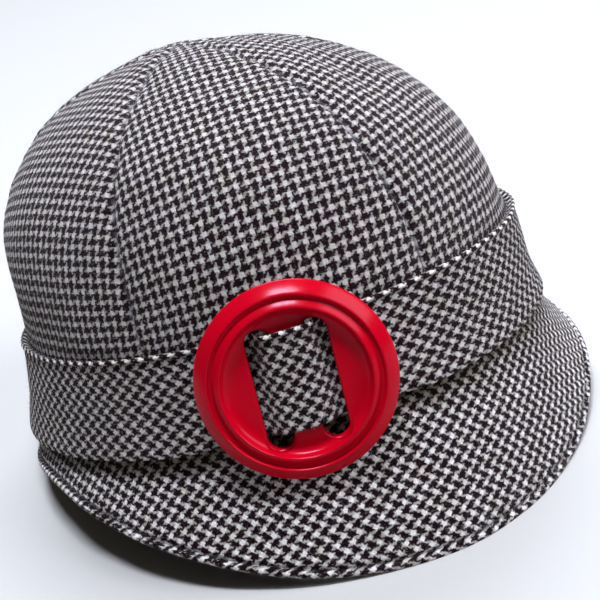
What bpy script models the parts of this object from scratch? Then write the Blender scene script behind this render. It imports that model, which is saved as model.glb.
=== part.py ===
"""Cloche hat with a six-gore crown, a folded cloth band, a round slide buckle and a drooping brim.

Metres, +Z up, the front of the hat towards -Y.  The hat stands on the front and the back of its brim, so
the crown leans back a little.  Run with: blender --background --python part.py
"""
import math

import bmesh
import bpy
from mathutils import Matrix, Vector

# Crown: outer faces of the cloth, measured square to the crown's own leaning axis
CROWN_FOOT_HALF_WIDTH = 0.0880
CROWN_FOOT_HALF_LENGTH = 0.0970
CROWN_WAIST_HALF_WIDTH = 0.0832
CROWN_WAIST_HALF_LENGTH = 0.0942
CROWN_RISE = 0.0822
CROWN_SETBACK = 0.0128
CROWN_POINT_BACK = 0.0040
CROWN_LEAN = math.radians(10.5)
CROWN_FOOT_HEIGHT = 0.0270
CROWN_CLOTH = 0.0016
PEAK_HOLE_RADIUS = 0.0012
GORE_COUNT = 6
SEAM_VALLEY_DEPTH = 0.0009
SEAM_VALLEY_WIDTH = 0.0070
CROWN_DENT_DEPTH = 0.0018

# Band
BAND_WIDTH = 0.0294
BAND_CLOTH = 0.0020
BAND_FOLD_PROUD = 0.0008

# Brim
BRIM_REACH = 0.0178
BRIM_SIDE_ARCH = 0.0150
BRIM_CLOTH = 0.0026
BRIM_EDGE_ROUND = 0.0005
BRIM_REST_PRESS = 0.0003

# Buckle; its tilt is how much more it leans than the cloth that it lies on
BUCKLE_RADIUS = 0.0285
BUCKLE_THICKNESS = 0.0056
BUCKLE_FLOOR_THICKNESS = 0.0024
BUCKLE_AZIMUTH = math.radians(-31.0)
BUCKLE_TILT = math.radians(-1.0)
BUCKLE_TURN = math.radians(-3.0)
BUCKLE_BAR_WIDTH = 0.0086
BUCKLE_SLOT_WIDTH = 0.0075
BUCKLE_SLOT_CLEARANCE = 0.0016

# Clearance between pieces that touch
GAP = 0.0003

# Mesh fineness
AROUND_STEPS = 72
BUCKLE_ZONE_STEPS = 24
GORE_ROWS = 15
TURN_STEPS = 56
SLOT_END_STEPS = 7
SMOOTH_BELOW = math.radians(40.0)

# Rows of a gore on the wall behind the band, as shares of BAND_WIDTH
WALL_ROWS = (0.0, 0.5)

# Shape of the crown above the band: how soon the wall turns in, and how round the top is
SHOULDER_POWER = 2.77
TOP_POWER = 1.73
CROWN_SLIMNESS = 0.015
CROWN_MIDDLE_SHARE = 0.3

# Seam valleys fade over these shares of CROWN_RISE above the band and of the waist's half width at the point
SEAM_FADE_RISE = 0.20
SEAM_FADE_POINT = 0.25

# Directions across a gore as shares of its half width, closer together beside the seams
GORE_HALF_COLUMNS = (0.0, 0.27, 0.53, 0.77, 0.90, 1.0)

# Soft dents in the crown, seen from above: place as shares of the waist's half width and half length,
# direction of the long side in degrees from the front, half sizes as shares of the waist's half width,
# depth as a share of CROWN_DENT_DEPTH
CROWN_DENTS = (
    # aside, forward, direction, half length, half width, depth
    (-0.20, 0.45, 68, 0.24, 0.11, 0.60),
    (0.27, 0.63, 4, 0.27, 0.12, 1.00),
)

# Brim by direction from the front, in degrees: its reach as a share of BRIM_REACH and the height of its
# edge above the surface as a share of BRIM_SIDE_ARCH; the two sides hang a little differently
BRIM_SECTIONS = (
    # degrees, reach, arch
    (0, 1.00, 0.00),
    (30, 0.87, 0.16),
    (60, 0.94, 0.74),
    (90, 0.39, 1.14),
    (120, 0.27, 0.30),
    (150, 0.42, 0.00),
    (180, 0.52, 0.00),
    (210, 0.42, 0.00),
    (240, 0.20, 0.36),
    (270, 0.39, 1.13),
    (300, 0.77, 0.80),
    (330, 0.99, 0.14),
)

# How much later than its fall the brim's flare comes, as a power
BRIM_FLARE_POWER = 1.15

# Rows of the brim's face from its foot to above its edge, as shares of its fall
BRIM_FACE_ROWS = (0.0, 0.2, 0.4, 0.6, 0.8, 0.93)

# Places down the brim's face where the buckle can lie on it
BRIM_SUPPORT_STEPS = 40

# Band's cross-section: height as a share of BAND_WIDTH, and depth as a share of BAND_CLOTH from its inner face
BAND_OUTER_ROWS = (
    # height, depth
    (0.000, 0.70),
    (0.025, 1.00),
    (0.330, 1.05),
    (0.660, 1.00),
    (0.900, 1.00),
)
BAND_FOLD_ROWS = (
    # height, share of the fold's proudness
    (0.935, 0.75),
    (0.965, 1.00),
    (0.990, 0.55),
)
BAND_INNER_ROWS = (
    # height, depth
    (1.000, 0.50),
    (0.985, 0.08),
    (0.930, 0.00),
    (0.500, 0.00),
    (0.030, 0.00),
    (0.000, 0.20),
)

# Buckle's turned face from the rim inwards: radius as a share of BUCKLE_RADIUS, height as a share of the
# height between the dish's floor and the rim's top
BUCKLE_FACE_ROWS = (
    # radius, height
    (0.965, 0.66),
    (0.935, 0.88),
    (0.905, 0.93),
    (0.882, 0.76),
    (0.868, 0.58),
    (0.852, 0.80),
    (0.825, 1.00),
    (0.795, 0.93),
    (0.770, 0.62),
    (0.700, 0.24),
    (0.600, 0.04),
)

# Buckle's outer side from its face down to its back: radius as a share of BUCKLE_RADIUS, height as a share
# of BUCKLE_THICKNESS
BUCKLE_SIDE_ROWS = (
    # radius, height
    (0.990, 0.68),
    (1.000, 0.50),
    (0.990, 0.25),
    (0.960, 0.06),
    (0.930, 0.00),
)

# Reach of the band's close sections past the buckle's slots, as a share of their reach
BUCKLE_ZONE_SHARE = 1.25


def smooth_step(value):
    """Ease from 0 to 1 with level ends."""
    value = min(max(value, 0.0), 1.0)
    return value * value * (3.0 - 2.0 * value)


def table_value(rows, column, degrees):
    """Read a column of an evenly spaced table of directions on a smooth curve that goes all round."""
    count = len(rows)
    position = (degrees % 360.0) * count / 360.0
    index = int(position)
    share = position - index
    before, start, end, after = [rows[(index + step) % count][column] for step in (-1, 0, 1, 2)]
    linear = end - before
    square = 2.0 * before - 5.0 * start + 4.0 * end - after
    cube = 3.0 * start - before - 3.0 * end + after
    return 0.5 * (2.0 * start + linear * share + square * share ** 2 + cube * share ** 3)


def ellipse_point(half_width, half_length, angle):
    """Point of an ellipse, with angle 0 at the front."""
    return Vector((half_width * math.sin(angle), -half_length * math.cos(angle), 0.0))


def ellipse_normal(half_width, half_length, angle):
    """Outward unit normal of an ellipse."""
    return Vector((math.sin(angle) / half_width, -math.cos(angle) / half_length, 0.0)).normalized()


def lean_matrix():
    """Place of the crown's axis: leaning back, its foot at CROWN_FOOT_HEIGHT."""
    return Matrix.Translation((0.0, 0.0, CROWN_FOOT_HEIGHT)) @ Matrix.Rotation(-CROWN_LEAN, 4, "X")


def brim_foot(angle, inset, lower):
    """Point of the crown's foot ring, inset into the cloth and lowered along the crown's axis, standing."""
    half_width = CROWN_FOOT_HALF_WIDTH - inset
    half_length = CROWN_FOOT_HALF_LENGTH - inset
    local = ellipse_point(half_width, half_length, angle)
    local.z = -lower
    return lean_matrix() @ local


def brim_edge(angle):
    """Lower outer edge of the brim in one direction."""
    degrees = math.degrees(angle)
    reach = BRIM_REACH * table_value(BRIM_SECTIONS, 1, degrees)
    arch = max(0.0, BRIM_SIDE_ARCH * table_value(BRIM_SECTIONS, 2, degrees) - BRIM_REST_PRESS)
    foot = brim_foot(angle, 0.0, GAP)
    normal = ellipse_normal(CROWN_FOOT_HALF_WIDTH, CROWN_FOOT_HALF_LENGTH * math.cos(CROWN_LEAN), angle)
    return Vector((foot.x + reach * normal.x, foot.y + reach * normal.y, arch))


def brim_face(angle, share):
    """Point of the brim's face in one direction, a share of the way down its fall."""
    foot = brim_foot(angle, 0.0, GAP)
    edge = brim_edge(angle)
    flare = Vector((edge.x - foot.x, edge.y - foot.y, 0.0))
    return foot.lerp(edge, share) - (share - share ** BRIM_FLARE_POWER) * flare


def centre_shift():
    """How far the brim's outline is moved so that the hat's box is centred on the origin."""
    edge = [brim_edge(2.0 * math.pi * step / AROUND_STEPS) for step in range(AROUND_STEPS)]
    across = [point.x for point in edge]
    along = [point.y for point in edge]
    return -0.5 * Vector((min(across) + max(across), min(along) + max(along), 0.0))


def crown_ring(height):
    """Half width, half length and setback of the crown's outer face at a height above its foot."""
    if height <= BAND_WIDTH:
        share = height / BAND_WIDTH
        half_width = CROWN_FOOT_HALF_WIDTH + (CROWN_WAIST_HALF_WIDTH - CROWN_FOOT_HALF_WIDTH) * share
        half_length = CROWN_FOOT_HALF_LENGTH + (CROWN_WAIST_HALF_LENGTH - CROWN_FOOT_HALF_LENGTH) * share
        return half_width, half_length, 0.0
    share = min((height - BAND_WIDTH) / CROWN_RISE, 1.0)
    size = (1.0 - share ** SHOULDER_POWER) ** (1.0 / TOP_POWER)
    size *= 1.0 - CROWN_SLIMNESS * 4.0 * share * (1.0 - share)
    return CROWN_WAIST_HALF_WIDTH * size, CROWN_WAIST_HALF_LENGTH * size, CROWN_SETBACK * share ** 2


def dome_height(plan):
    """Height of the crown's outer face over a point inside the waist, found by halving."""
    low, high = 0.0, 1.0
    for _ in range(36):
        share = 0.5 * (low + high)
        half_width, half_length, setback = crown_ring(BAND_WIDTH + CROWN_RISE * share)
        if half_width <= 0.0:
            high = share
            continue
        outside = (plan.x / half_width) ** 2 + ((plan.y - setback) / half_length) ** 2
        if outside > 1.0:
            high = share
        else:
            low = share
    return BAND_WIDTH + CROWN_RISE * low


def crown_point_plan():
    """Plan place of the point where the gores meet."""
    return Vector((0.0, CROWN_POINT_BACK, 0.0))


def seam_dip(plan, angle, share, height):
    """Depth of the soft valley along the nearest gore seam; it fades at the band and at the crown's point."""
    gore_angle = 2.0 * math.pi / GORE_COUNT
    seam_angle = gore_angle * round(angle / gore_angle)
    seam_foot = ellipse_point(CROWN_WAIST_HALF_WIDTH, CROWN_WAIST_HALF_LENGTH, seam_angle)
    distance = (plan - seam_foot.lerp(crown_point_plan(), share)).length
    above_band = smooth_step((height - BAND_WIDTH) / (SEAM_FADE_RISE * CROWN_RISE))
    from_point = (plan - crown_point_plan()).length
    near_point = smooth_step(from_point / (SEAM_FADE_POINT * CROWN_WAIST_HALF_WIDTH))
    valley = 1.0 - smooth_step(distance / (0.5 * SEAM_VALLEY_WIDTH))
    return SEAM_VALLEY_DEPTH * valley * above_band * near_point


def dent_dip(plan):
    """Depth of the crown's soft dents at a plan place."""
    dip = 0.0
    for aside, forward, direction, half_length, half_width, depth in CROWN_DENTS:
        middle = Vector((aside * CROWN_WAIST_HALF_WIDTH, -forward * CROWN_WAIST_HALF_LENGTH, 0.0))
        turn = math.radians(direction)
        offset = plan - middle
        along = abs(offset.dot(Vector((math.sin(turn), -math.cos(turn), 0.0))))
        across = abs(offset.dot(Vector((math.cos(turn), math.sin(turn), 0.0))))
        lengthwise = 1.0 - smooth_step(along / (half_length * CROWN_WAIST_HALF_WIDTH))
        crosswise = 1.0 - smooth_step(across / (half_width * CROWN_WAIST_HALF_WIDTH))
        dip += depth * CROWN_DENT_DEPTH * lengthwise * crosswise
    return dip


def dome_point(angle, share):
    """Point on the crown above the band: a share of the way from the waist to the crown's point."""
    foot = ellipse_point(CROWN_WAIST_HALF_WIDTH, CROWN_WAIST_HALF_LENGTH, angle)
    plan = foot.lerp(crown_point_plan(), share)
    height = dome_height(plan)
    point = Vector((plan.x, plan.y, height))
    middle = Vector((0.0, CROWN_SETBACK, BAND_WIDTH + CROWN_MIDDLE_SHARE * CROWN_RISE))
    dip = seam_dip(plan, angle, share, height) + dent_dip(plan)
    return point - dip * (point - middle).normalized()


def wall_point(angle, height):
    """Point on the crown's wall behind the band."""
    half_width, half_length, _ = crown_ring(height)
    point = ellipse_point(half_width, half_length, angle)
    point.z = height
    return point


def gore_point(middle, column, row):
    """Point of a gore at a share of its half width and a row counted from its foot."""
    half_angle = math.pi / GORE_COUNT
    seam_foot = ellipse_point(CROWN_WAIST_HALF_WIDTH, CROWN_WAIST_HALF_LENGTH, middle + half_angle)
    length = (seam_foot - crown_point_plan()).length
    wall_rows = len(WALL_ROWS)
    if row < wall_rows:
        trim = 0.5 * GAP / seam_foot.length
        return wall_point(middle + (half_angle - trim) * column, WALL_ROWS[row] * BAND_WIDTH)
    dome_rows = GORE_ROWS - wall_rows
    last_share = 1.0 - PEAK_HOLE_RADIUS / length
    share = last_share * (1.0 - math.cos(0.5 * math.pi * (row - wall_rows) / dome_rows))
    trim = 0.5 * GAP / (length * (1.0 - share))
    return dome_point(middle + (half_angle - trim) * column, share)


def gore_columns():
    """Directions across a gore from one seam to the other, as shares of its half width."""
    return [-share for share in reversed(GORE_HALF_COLUMNS[1:])] + list(GORE_HALF_COLUMNS)


def new_material(name, colour, roughness):
    """Principled material."""
    material = bpy.data.materials.new(name)
    material.use_nodes = True
    shader = material.node_tree.nodes["Principled BSDF"]
    shader.inputs["Base Color"].default_value = (*colour, 1.0)
    shader.inputs["Roughness"].default_value = roughness
    shader.inputs["Metallic"].default_value = 0.0
    material.diffuse_color = (*colour, 1.0)
    return material


def add_object(name, mesh, collection, material=None, parent=None):
    """Link a mesh as an object, shaded smooth with crisp corners."""
    mesh.shade_smooth()
    mesh.set_sharp_from_angle(angle=SMOOTH_BELOW)
    item = bpy.data.objects.new(name, mesh)
    collection.objects.link(item)
    if material is not None:
        mesh.materials.append(material)
    if parent is not None:
        item.parent = parent
    return item


def lofted_ring(name, sections):
    """Mesh of a closed ring lofted through closed sections that all have as many points."""
    shape = bmesh.new()
    loops = [[shape.verts.new(point) for point in section] for section in sections]
    for index, loop in enumerate(loops):
        following = loops[(index + 1) % len(loops)]
        for corner in range(len(loop)):
            other = (corner + 1) % len(loop)
            shape.faces.new((loop[corner], loop[other], following[other], following[corner]))
    bmesh.ops.recalc_face_normals(shape, faces=shape.faces)
    mesh = bpy.data.meshes.new(name)
    shape.to_mesh(mesh)
    shape.free()
    return mesh


def make_gore(index, collection, material, axis):
    """One crown gore: a grid laid on the crown's face, given its cloth by Solidify."""
    name = f"crown_panel_{index + 1}"
    columns = gore_columns()
    last_column = len(columns) - 1
    middle = math.pi / GORE_COUNT * (2 * index + 1)
    shape = bmesh.new()
    bmesh.ops.create_grid(shape, x_segments=last_column, y_segments=GORE_ROWS, size=1.0)
    for vertex in shape.verts:
        column = round((vertex.co.x + 1.0) * 0.5 * last_column)
        row = round((vertex.co.y + 1.0) * 0.5 * GORE_ROWS)
        vertex.co = gore_point(middle, columns[column], row)
    bmesh.ops.recalc_face_normals(shape, faces=shape.faces)
    outward = Vector((math.sin(middle), -math.cos(middle), 0.0))
    wall_face = min(shape.faces, key=lambda face: face.calc_center_median().z)
    if wall_face.normal.dot(outward) < 0.0:
        bmesh.ops.reverse_faces(shape, faces=shape.faces)
    mesh = bpy.data.meshes.new(name)
    shape.to_mesh(mesh)
    shape.free()
    gore = add_object(name, mesh, collection, material, axis)
    cloth = gore.modifiers.new("cloth", "SOLIDIFY")
    cloth.thickness = CROWN_CLOTH
    cloth.offset = -1.0
    cloth.use_even_offset = True
    return gore


def buckle_directions():
    """Directions outward from the wall and sideways along it at the buckle."""
    half_width, half_length, _ = crown_ring(0.5 * BAND_WIDTH)
    outward = ellipse_normal(half_width, half_length, BUCKLE_AZIMUTH)
    return outward, Vector((0.0, 0.0, 1.0)).cross(outward).normalized()


def curve_drop(sideways):
    """How far the crown's wall falls away from its tangent at the buckle, a distance to the side."""
    half_width, half_length, _ = crown_ring(0.5 * BAND_WIDTH)
    side = math.sin(BUCKLE_AZIMUTH) ** 2 * half_length ** 2 + math.cos(BUCKLE_AZIMUTH) ** 2 * half_width ** 2
    radius = side ** 1.5 / (half_width * half_length)
    return radius - math.sqrt(max(radius ** 2 - sideways ** 2, 0.0))


def slot_reach():
    """Distance from the buckle's middle to the outer side of its slots."""
    return 0.5 * BUCKLE_BAR_WIDTH + BUCKLE_SLOT_WIDTH


def outward_offset(point):
    """How far a point about the crown's axis stands out from the wall behind the buckle's middle."""
    outward, _ = buckle_directions()
    return (point - wall_point(BUCKLE_AZIMUTH, 0.5 * BAND_WIDTH)).dot(outward)


def wall_offset(height):
    """How far the crown's face at a height stands out from the wall behind the buckle's middle."""
    half_width, half_length, setback = crown_ring(height)
    return outward_offset(ellipse_point(half_width, half_length, BUCKLE_AZIMUTH) + Vector((0.0, setback, 0.0)))


def band_outside():
    """Heights of the band's outer face above its foot, and its depths from the band's inner face."""
    rows = [(height * BAND_WIDTH, depth * BAND_CLOTH) for height, depth in BAND_OUTER_ROWS]
    return rows + [(height * BAND_WIDTH, BAND_CLOTH + proud * BAND_FOLD_PROUD) for height, proud in BAND_FOLD_ROWS]


def cloth_behind_buckle():
    """Heights and outward offsets of the cloth that the buckle's back can lie on: band, crown and brim."""
    back_radius = BUCKLE_SIDE_ROWS[-1][0] * BUCKLE_RADIUS
    lowest = 0.5 * BAND_WIDTH - back_radius
    highest = 0.5 * BAND_WIDTH + back_radius
    under_sides = GAP - curve_drop(slot_reach())
    cloth = [(height, wall_offset(height) + depth + under_sides) for height, depth in band_outside()]
    cloth.append((highest, wall_offset(highest)))
    to_axis = lean_matrix().inverted()
    for step in range(BRIM_SUPPORT_STEPS + 1):
        point = to_axis @ brim_face(BUCKLE_AZIMUTH, step / BRIM_SUPPORT_STEPS)
        if point.z >= lowest:
            cloth.append((point.z, outward_offset(point)))
    return cloth


def buckle_rest():
    """Lean of the buckle against the crown's axis, and the offset of its seat at the band's middle."""
    middle = 0.5 * BAND_WIDTH
    cloth = cloth_behind_buckle()
    lean = BUCKLE_TILT + max(
        (
            (upper[1] * (middle - lower[0]) + lower[1] * (upper[0] - middle)) / (upper[0] - lower[0]),
            math.atan2(lower[1] - upper[1], upper[0] - lower[0]),
        )
        for upper in cloth if upper[0] > middle
        for lower in cloth if lower[0] < middle
    )[1]
    return lean, max(offset + math.tan(lean) * (height - middle) for height, offset in cloth)


def buckle_frame():
    """Place of the buckle about the crown's axis: its face along local +Z, its top along local +Y."""
    outward, sideways = buckle_directions()
    upright = Vector((0.0, 0.0, 1.0))
    lean, seat = buckle_rest()
    turn = Matrix.Rotation(-lean, 3, sideways) @ Matrix((sideways, upright, outward)).transposed()
    origin = wall_point(BUCKLE_AZIMUTH, 0.5 * BAND_WIDTH) + (GAP + seat) * outward
    return Matrix.Translation(origin) @ turn.to_4x4() @ Matrix.Rotation(BUCKLE_TURN, 4, "Z")


def slot_straight(lean):
    """Half length of a slot's straight sides, for the band at the buckle's lean."""
    return 0.5 * (BAND_WIDTH / math.cos(lean) - BUCKLE_SLOT_WIDTH) + BUCKLE_SLOT_CLEARANCE


def slot_pinch(over_middle, lean):
    """How much a slot's round end narrows it on each side at a height over the buckle's middle."""
    radius = 0.5 * BUCKLE_SLOT_WIDTH
    into_end = max(abs(over_middle) / math.cos(lean) - slot_straight(lean), 0.0)
    return radius - math.sqrt(max(radius ** 2 - into_end ** 2, 0.0))


def band_rise(angle, height, rest):
    """How far the band is lifted off the crown at a direction and height, to pass over the buckle's bar."""
    half_width, half_length, _ = crown_ring(0.5 * BAND_WIDTH)
    outward, sideways = buckle_directions()
    point = ellipse_point(half_width, half_length, angle)
    if point.dot(outward) < 0.0:
        return 0.0
    lean, seat = rest
    over_middle = height - 0.5 * BAND_WIDTH
    offset = point - ellipse_point(half_width, half_length, BUCKLE_AZIMUTH)
    from_bar = abs(offset.dot(sideways) + math.tan(BUCKLE_TURN) * over_middle) * math.cos(BUCKLE_TURN)
    bar_top = seat - math.tan(lean) * over_middle + BUCKLE_FLOOR_THICKNESS / math.cos(lean)
    over_bar = bar_top + GAP + curve_drop(0.5 * BUCKLE_BAR_WIDTH) - wall_offset(height)
    room = GAP + slot_pinch(over_middle, lean)
    start = 0.5 * BUCKLE_BAR_WIDTH + room
    run = BUCKLE_SLOT_WIDTH - 2.0 * room
    return over_bar * (1.0 - smooth_step((from_bar - start) / run))


def band_angles():
    """Directions of the band's sections: even all round, and closer together through the buckle."""
    half_width, half_length, _ = crown_ring(0.5 * BAND_WIDTH)
    from_axis = ellipse_point(half_width, half_length, BUCKLE_AZIMUTH).length
    zone = BUCKLE_ZONE_SHARE * slot_reach() / from_axis
    fine_step = 2.0 * zone / BUCKLE_ZONE_STEPS
    fine = [BUCKLE_AZIMUTH - zone + fine_step * step for step in range(BUCKLE_ZONE_STEPS + 1)]
    coarse_span = 2.0 * math.pi - 2.0 * zone
    coarse = [fine[-1] + coarse_span * step / AROUND_STEPS for step in range(1, AROUND_STEPS)]
    return fine + coarse


def band_section(angle, rest):
    """Closed cross-section of the band in one direction, around the buckle at its rest."""
    inside = [(height * BAND_WIDTH, depth * BAND_CLOTH) for height, depth in BAND_INNER_ROWS]
    section = []
    for height, depth in band_outside() + inside:
        half_width, half_length, _ = crown_ring(height)
        lift = GAP + depth + band_rise(angle, height, rest)
        point = ellipse_point(half_width, half_length, angle)
        point += lift * ellipse_normal(half_width, half_length, angle)
        section.append(Vector((point.x, point.y, height)))
    return section


def make_band(collection, material, axis):
    """Folded cloth band round the foot of the crown."""
    rest = buckle_rest()
    mesh = lofted_ring("band", [band_section(angle, rest) for angle in band_angles()])
    return add_object("band", mesh, collection, material, axis)


def brim_section(angle, shift):
    """Closed cross-section of the brim in one direction, flat where its edge rests."""
    foot_outer = brim_foot(angle, 0.0, GAP)
    foot_inner = brim_foot(angle, BRIM_CLOTH, GAP)
    edge = brim_edge(angle)
    inward = Vector((foot_inner.x - foot_outer.x, foot_inner.y - foot_outer.y, 0.0)).normalized()
    fall = foot_outer - edge
    steepness = abs(fall.z) / fall.length
    across = BRIM_CLOTH / steepness
    face = [brim_face(angle, share) for share in BRIM_FACE_ROWS]
    section = list(face)
    section.append(edge + Vector((0.0, 0.0, BRIM_EDGE_ROUND)))
    section.append(edge + inward * BRIM_EDGE_ROUND)
    section.append(edge + inward * (across - BRIM_EDGE_ROUND))
    section.append(edge + inward * across + Vector((0.0, 0.0, BRIM_EDGE_ROUND)))
    section += [point + inward * across for point in reversed(face[1:])]
    section.append(foot_inner)
    return [point + shift for point in section]


def make_brim(collection, material, shift):
    """Double cloth brim, lofted from the crown's foot to its edge."""
    angles = [2.0 * math.pi * step / AROUND_STEPS for step in range(AROUND_STEPS)]
    mesh = lofted_ring("brim", [brim_section(angle, shift) for angle in angles])
    return add_object("brim", mesh, collection, material)


def buckle_profile():
    """Half section of the buckle, from its face's middle round the rim to its back's middle."""
    relief = BUCKLE_THICKNESS - BUCKLE_FLOOR_THICKNESS
    rows = [(0.0, BUCKLE_FLOOR_THICKNESS)]
    for radius_share, height_share in reversed(BUCKLE_FACE_ROWS):
        rows.append((radius_share * BUCKLE_RADIUS, BUCKLE_FLOOR_THICKNESS + height_share * relief))
    for radius_share, height_share in BUCKLE_SIDE_ROWS:
        rows.append((radius_share * BUCKLE_RADIUS, height_share * BUCKLE_THICKNESS))
    rows.append((0.0, 0.0))
    return rows


def slot_cutter(name, middle, collection, axis):
    """Cutter for one slot: a block with rounded ends, standing through the buckle."""
    radius = 0.5 * BUCKLE_SLOT_WIDTH
    straight = slot_straight(buckle_rest()[0])
    outline = []
    for end, first_turn in ((straight, 0.0), (-straight, math.pi)):
        for step in range(SLOT_END_STEPS + 1):
            turn = first_turn + math.pi * step / SLOT_END_STEPS
            outline.append((middle + radius * math.cos(turn), end + radius * math.sin(turn)))
    shape = bmesh.new()
    corners = [shape.verts.new((x, y, -BUCKLE_THICKNESS)) for x, y in outline]
    shape.faces.new(corners)
    top = bmesh.ops.extrude_face_region(shape, geom=shape.faces[:])
    moved = [item for item in top["geom"] if isinstance(item, bmesh.types.BMVert)]
    bmesh.ops.translate(shape, verts=moved, vec=(0.0, 0.0, 3.0 * BUCKLE_THICKNESS))
    bmesh.ops.recalc_face_normals(shape, faces=shape.faces)
    mesh = bpy.data.meshes.new(name)
    shape.to_mesh(mesh)
    shape.free()
    cutter = add_object(name, mesh, collection, parent=axis)
    cutter.hide_render = True
    cutter.display_type = "WIRE"
    cutter.matrix_local = buckle_frame()
    return cutter


def make_buckle(collection, cutters, material, axis):
    """Turned slide buckle with two slots and a bar between them."""
    mesh = bpy.data.meshes.new("buckle")
    rows = buckle_profile()
    edges = [(index, index + 1) for index in range(len(rows) - 1)]
    mesh.from_pydata([(radius, 0.0, height) for radius, height in rows], edges, [])
    buckle = bpy.data.objects.new("buckle", mesh)
    collection.objects.link(buckle)
    mesh.materials.append(material)
    buckle.parent = axis
    buckle.matrix_local = buckle_frame()
    turned = buckle.modifiers.new("turned", "SCREW")
    turned.axis = "Z"
    turned.steps = TURN_STEPS
    turned.render_steps = TURN_STEPS
    turned.use_merge_vertices = True
    turned.merge_threshold = 0.00001
    turned.use_smooth_shade = True
    middle = 0.5 * (BUCKLE_BAR_WIDTH + BUCKLE_SLOT_WIDTH)
    for side, name in ((-1, "slot_cutter_left"), (1, "slot_cutter_right")):
        cut = buckle.modifiers.new(name, "BOOLEAN")
        cut.operation = "DIFFERENCE"
        cut.solver = "EXACT"
        cut.object = slot_cutter(name, side * middle, cutters, axis)
    return buckle


def main():
    """Build the hat."""
    for item in list(bpy.data.objects):
        bpy.data.objects.remove(item, do_unlink=True)
    hat = bpy.data.collections.new("cloche_hat")
    cutters = bpy.data.collections.new("cutters")
    bpy.context.scene.collection.children.link(hat)
    bpy.context.scene.collection.children.link(cutters)

    crown_cloth = new_material("crown_check_wool", (0.27, 0.26, 0.25), 0.95)
    band_cloth = new_material("band_check_wool", (0.25, 0.24, 0.23), 0.95)
    brim_cloth = new_material("brim_check_wool", (0.29, 0.28, 0.26), 0.95)
    red_plastic = new_material("red_plastic", (0.58, 0.010, 0.022), 0.14)

    shift = centre_shift()
    axis = bpy.data.objects.new("crown_axis", None)
    hat.objects.link(axis)
    axis.location = (shift.x, shift.y, CROWN_FOOT_HEIGHT)
    axis.rotation_euler = (-CROWN_LEAN, 0.0, 0.0)

    for index in range(GORE_COUNT):
        make_gore(index, hat, crown_cloth, axis)
    make_band(hat, band_cloth, axis)
    make_brim(hat, brim_cloth, shift)
    make_buckle(hat, cutters, red_plastic, axis)


main()
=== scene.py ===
"""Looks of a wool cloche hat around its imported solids.

Metres, +Z up, the front of the hat towards -Y, as in the frame.  Each cloth piece is a fine sheet laid on
the same form as its solid, in a houndstooth check that its material weaves on the piece's "cloth" map.
"""

import logging
import math
import random
from dataclasses import dataclass, field, replace
from enum import Enum
from typing import Sequence, Union

import bmesh
import bpy
import numpy as np
from mathutils import Matrix, Vector, noise


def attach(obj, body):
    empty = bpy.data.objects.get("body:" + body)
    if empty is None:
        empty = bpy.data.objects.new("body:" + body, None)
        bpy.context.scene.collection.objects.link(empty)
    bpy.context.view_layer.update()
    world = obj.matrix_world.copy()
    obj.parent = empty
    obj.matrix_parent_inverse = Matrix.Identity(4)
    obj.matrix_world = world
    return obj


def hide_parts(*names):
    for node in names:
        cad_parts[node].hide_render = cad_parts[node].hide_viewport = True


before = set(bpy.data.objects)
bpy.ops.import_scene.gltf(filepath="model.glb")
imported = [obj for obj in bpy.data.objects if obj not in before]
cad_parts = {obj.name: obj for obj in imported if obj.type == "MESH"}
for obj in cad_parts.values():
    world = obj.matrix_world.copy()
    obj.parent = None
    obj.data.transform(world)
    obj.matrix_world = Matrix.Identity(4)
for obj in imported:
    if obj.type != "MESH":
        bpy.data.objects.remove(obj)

LOG = logging.getLogger("cloche")
BODY = "root"
CLOTH_MAP = "cloth"
SEAM_MAP = "seam"
# The shade map holds painted highlight and painted shade: a colour multiplier, and a warmth for the shade.
SHADE_MAP = "shade"
TONE = "tone"
WELD = 1e-7
MILLIMETRE = 0.001

Colour = tuple[float, float, float]
Spot = tuple[float, float]
Row = tuple[float, float]
Socket = bpy.types.NodeSocket
Value = Union[Socket, float, Sequence[float]]
Places = list[list[Vector]]
Maps = dict[str, list[list[Spot]]]


class Cut(Enum):
    """How a cloth piece lies on the weave."""

    STRAIGHT = 0.0
    BIAS = math.radians(45.0)


def smooth_step(value: float) -> float:
    """Ease from 0 to 1 with level ends."""
    value = min(max(value, 0.0), 1.0)
    return value * value * (3.0 - 2.0 * value)


def spline(before: float, start: float, end: float, after: float, share: float) -> float:
    """Value a share of the way along a smooth curve from start to end.

    Args:
        before: Value of the knot before start.
        start: Value where share is 0.
        end: Value where share is 1.
        after: Value of the knot after end.
        share: Place between start and end.

    Returns:
        The Catmull-Rom value.
    """
    linear = end - before
    square = 2.0 * before - 5.0 * start + 4.0 * end - after
    cube = 3.0 * start - before - 3.0 * end + after
    return 0.5 * (2.0 * start + linear * share + square * share ** 2 + cube * share ** 3)


def round_table(values: Sequence[float], degrees: float) -> float:
    """Read values spaced evenly round the hat on a smooth curve.

    Args:
        values: One value for each direction, the first at the front.
        degrees: Direction to read.

    Returns:
        The value in that direction.
    """
    count = len(values)
    position = (degrees % 360.0) * count / 360.0
    index = int(position)
    knots = [values[(index + step) % count] for step in (-1, 0, 1, 2)]
    return spline(*knots, position - index)


def smooth_path(knots: Sequence[Vector], steps: int, closed: bool) -> list[Vector]:
    """Points along a smooth curve through knots.

    Args:
        knots: Points that the curve passes.
        steps: Steps between two knots.
        closed: Whether the curve comes back to its first knot.

    Returns:
        The curve's points; a closed curve's first point isn't repeated.
    """
    count = len(knots)
    spans = count if closed else count - 1
    points = []
    for span in range(spans):
        picks = [span - 1, span, span + 1, span + 2]
        picks = [pick % count if closed else min(max(pick, 0), count - 1) for pick in picks]
        near = [knots[pick] for pick in picks]
        for step in range(steps):
            share = step / steps
            points.append(Vector([spline(*[knot[axis] for knot in near], share) for axis in range(3)]))
    if not closed:
        points.append(knots[-1].copy())
    return points


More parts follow.
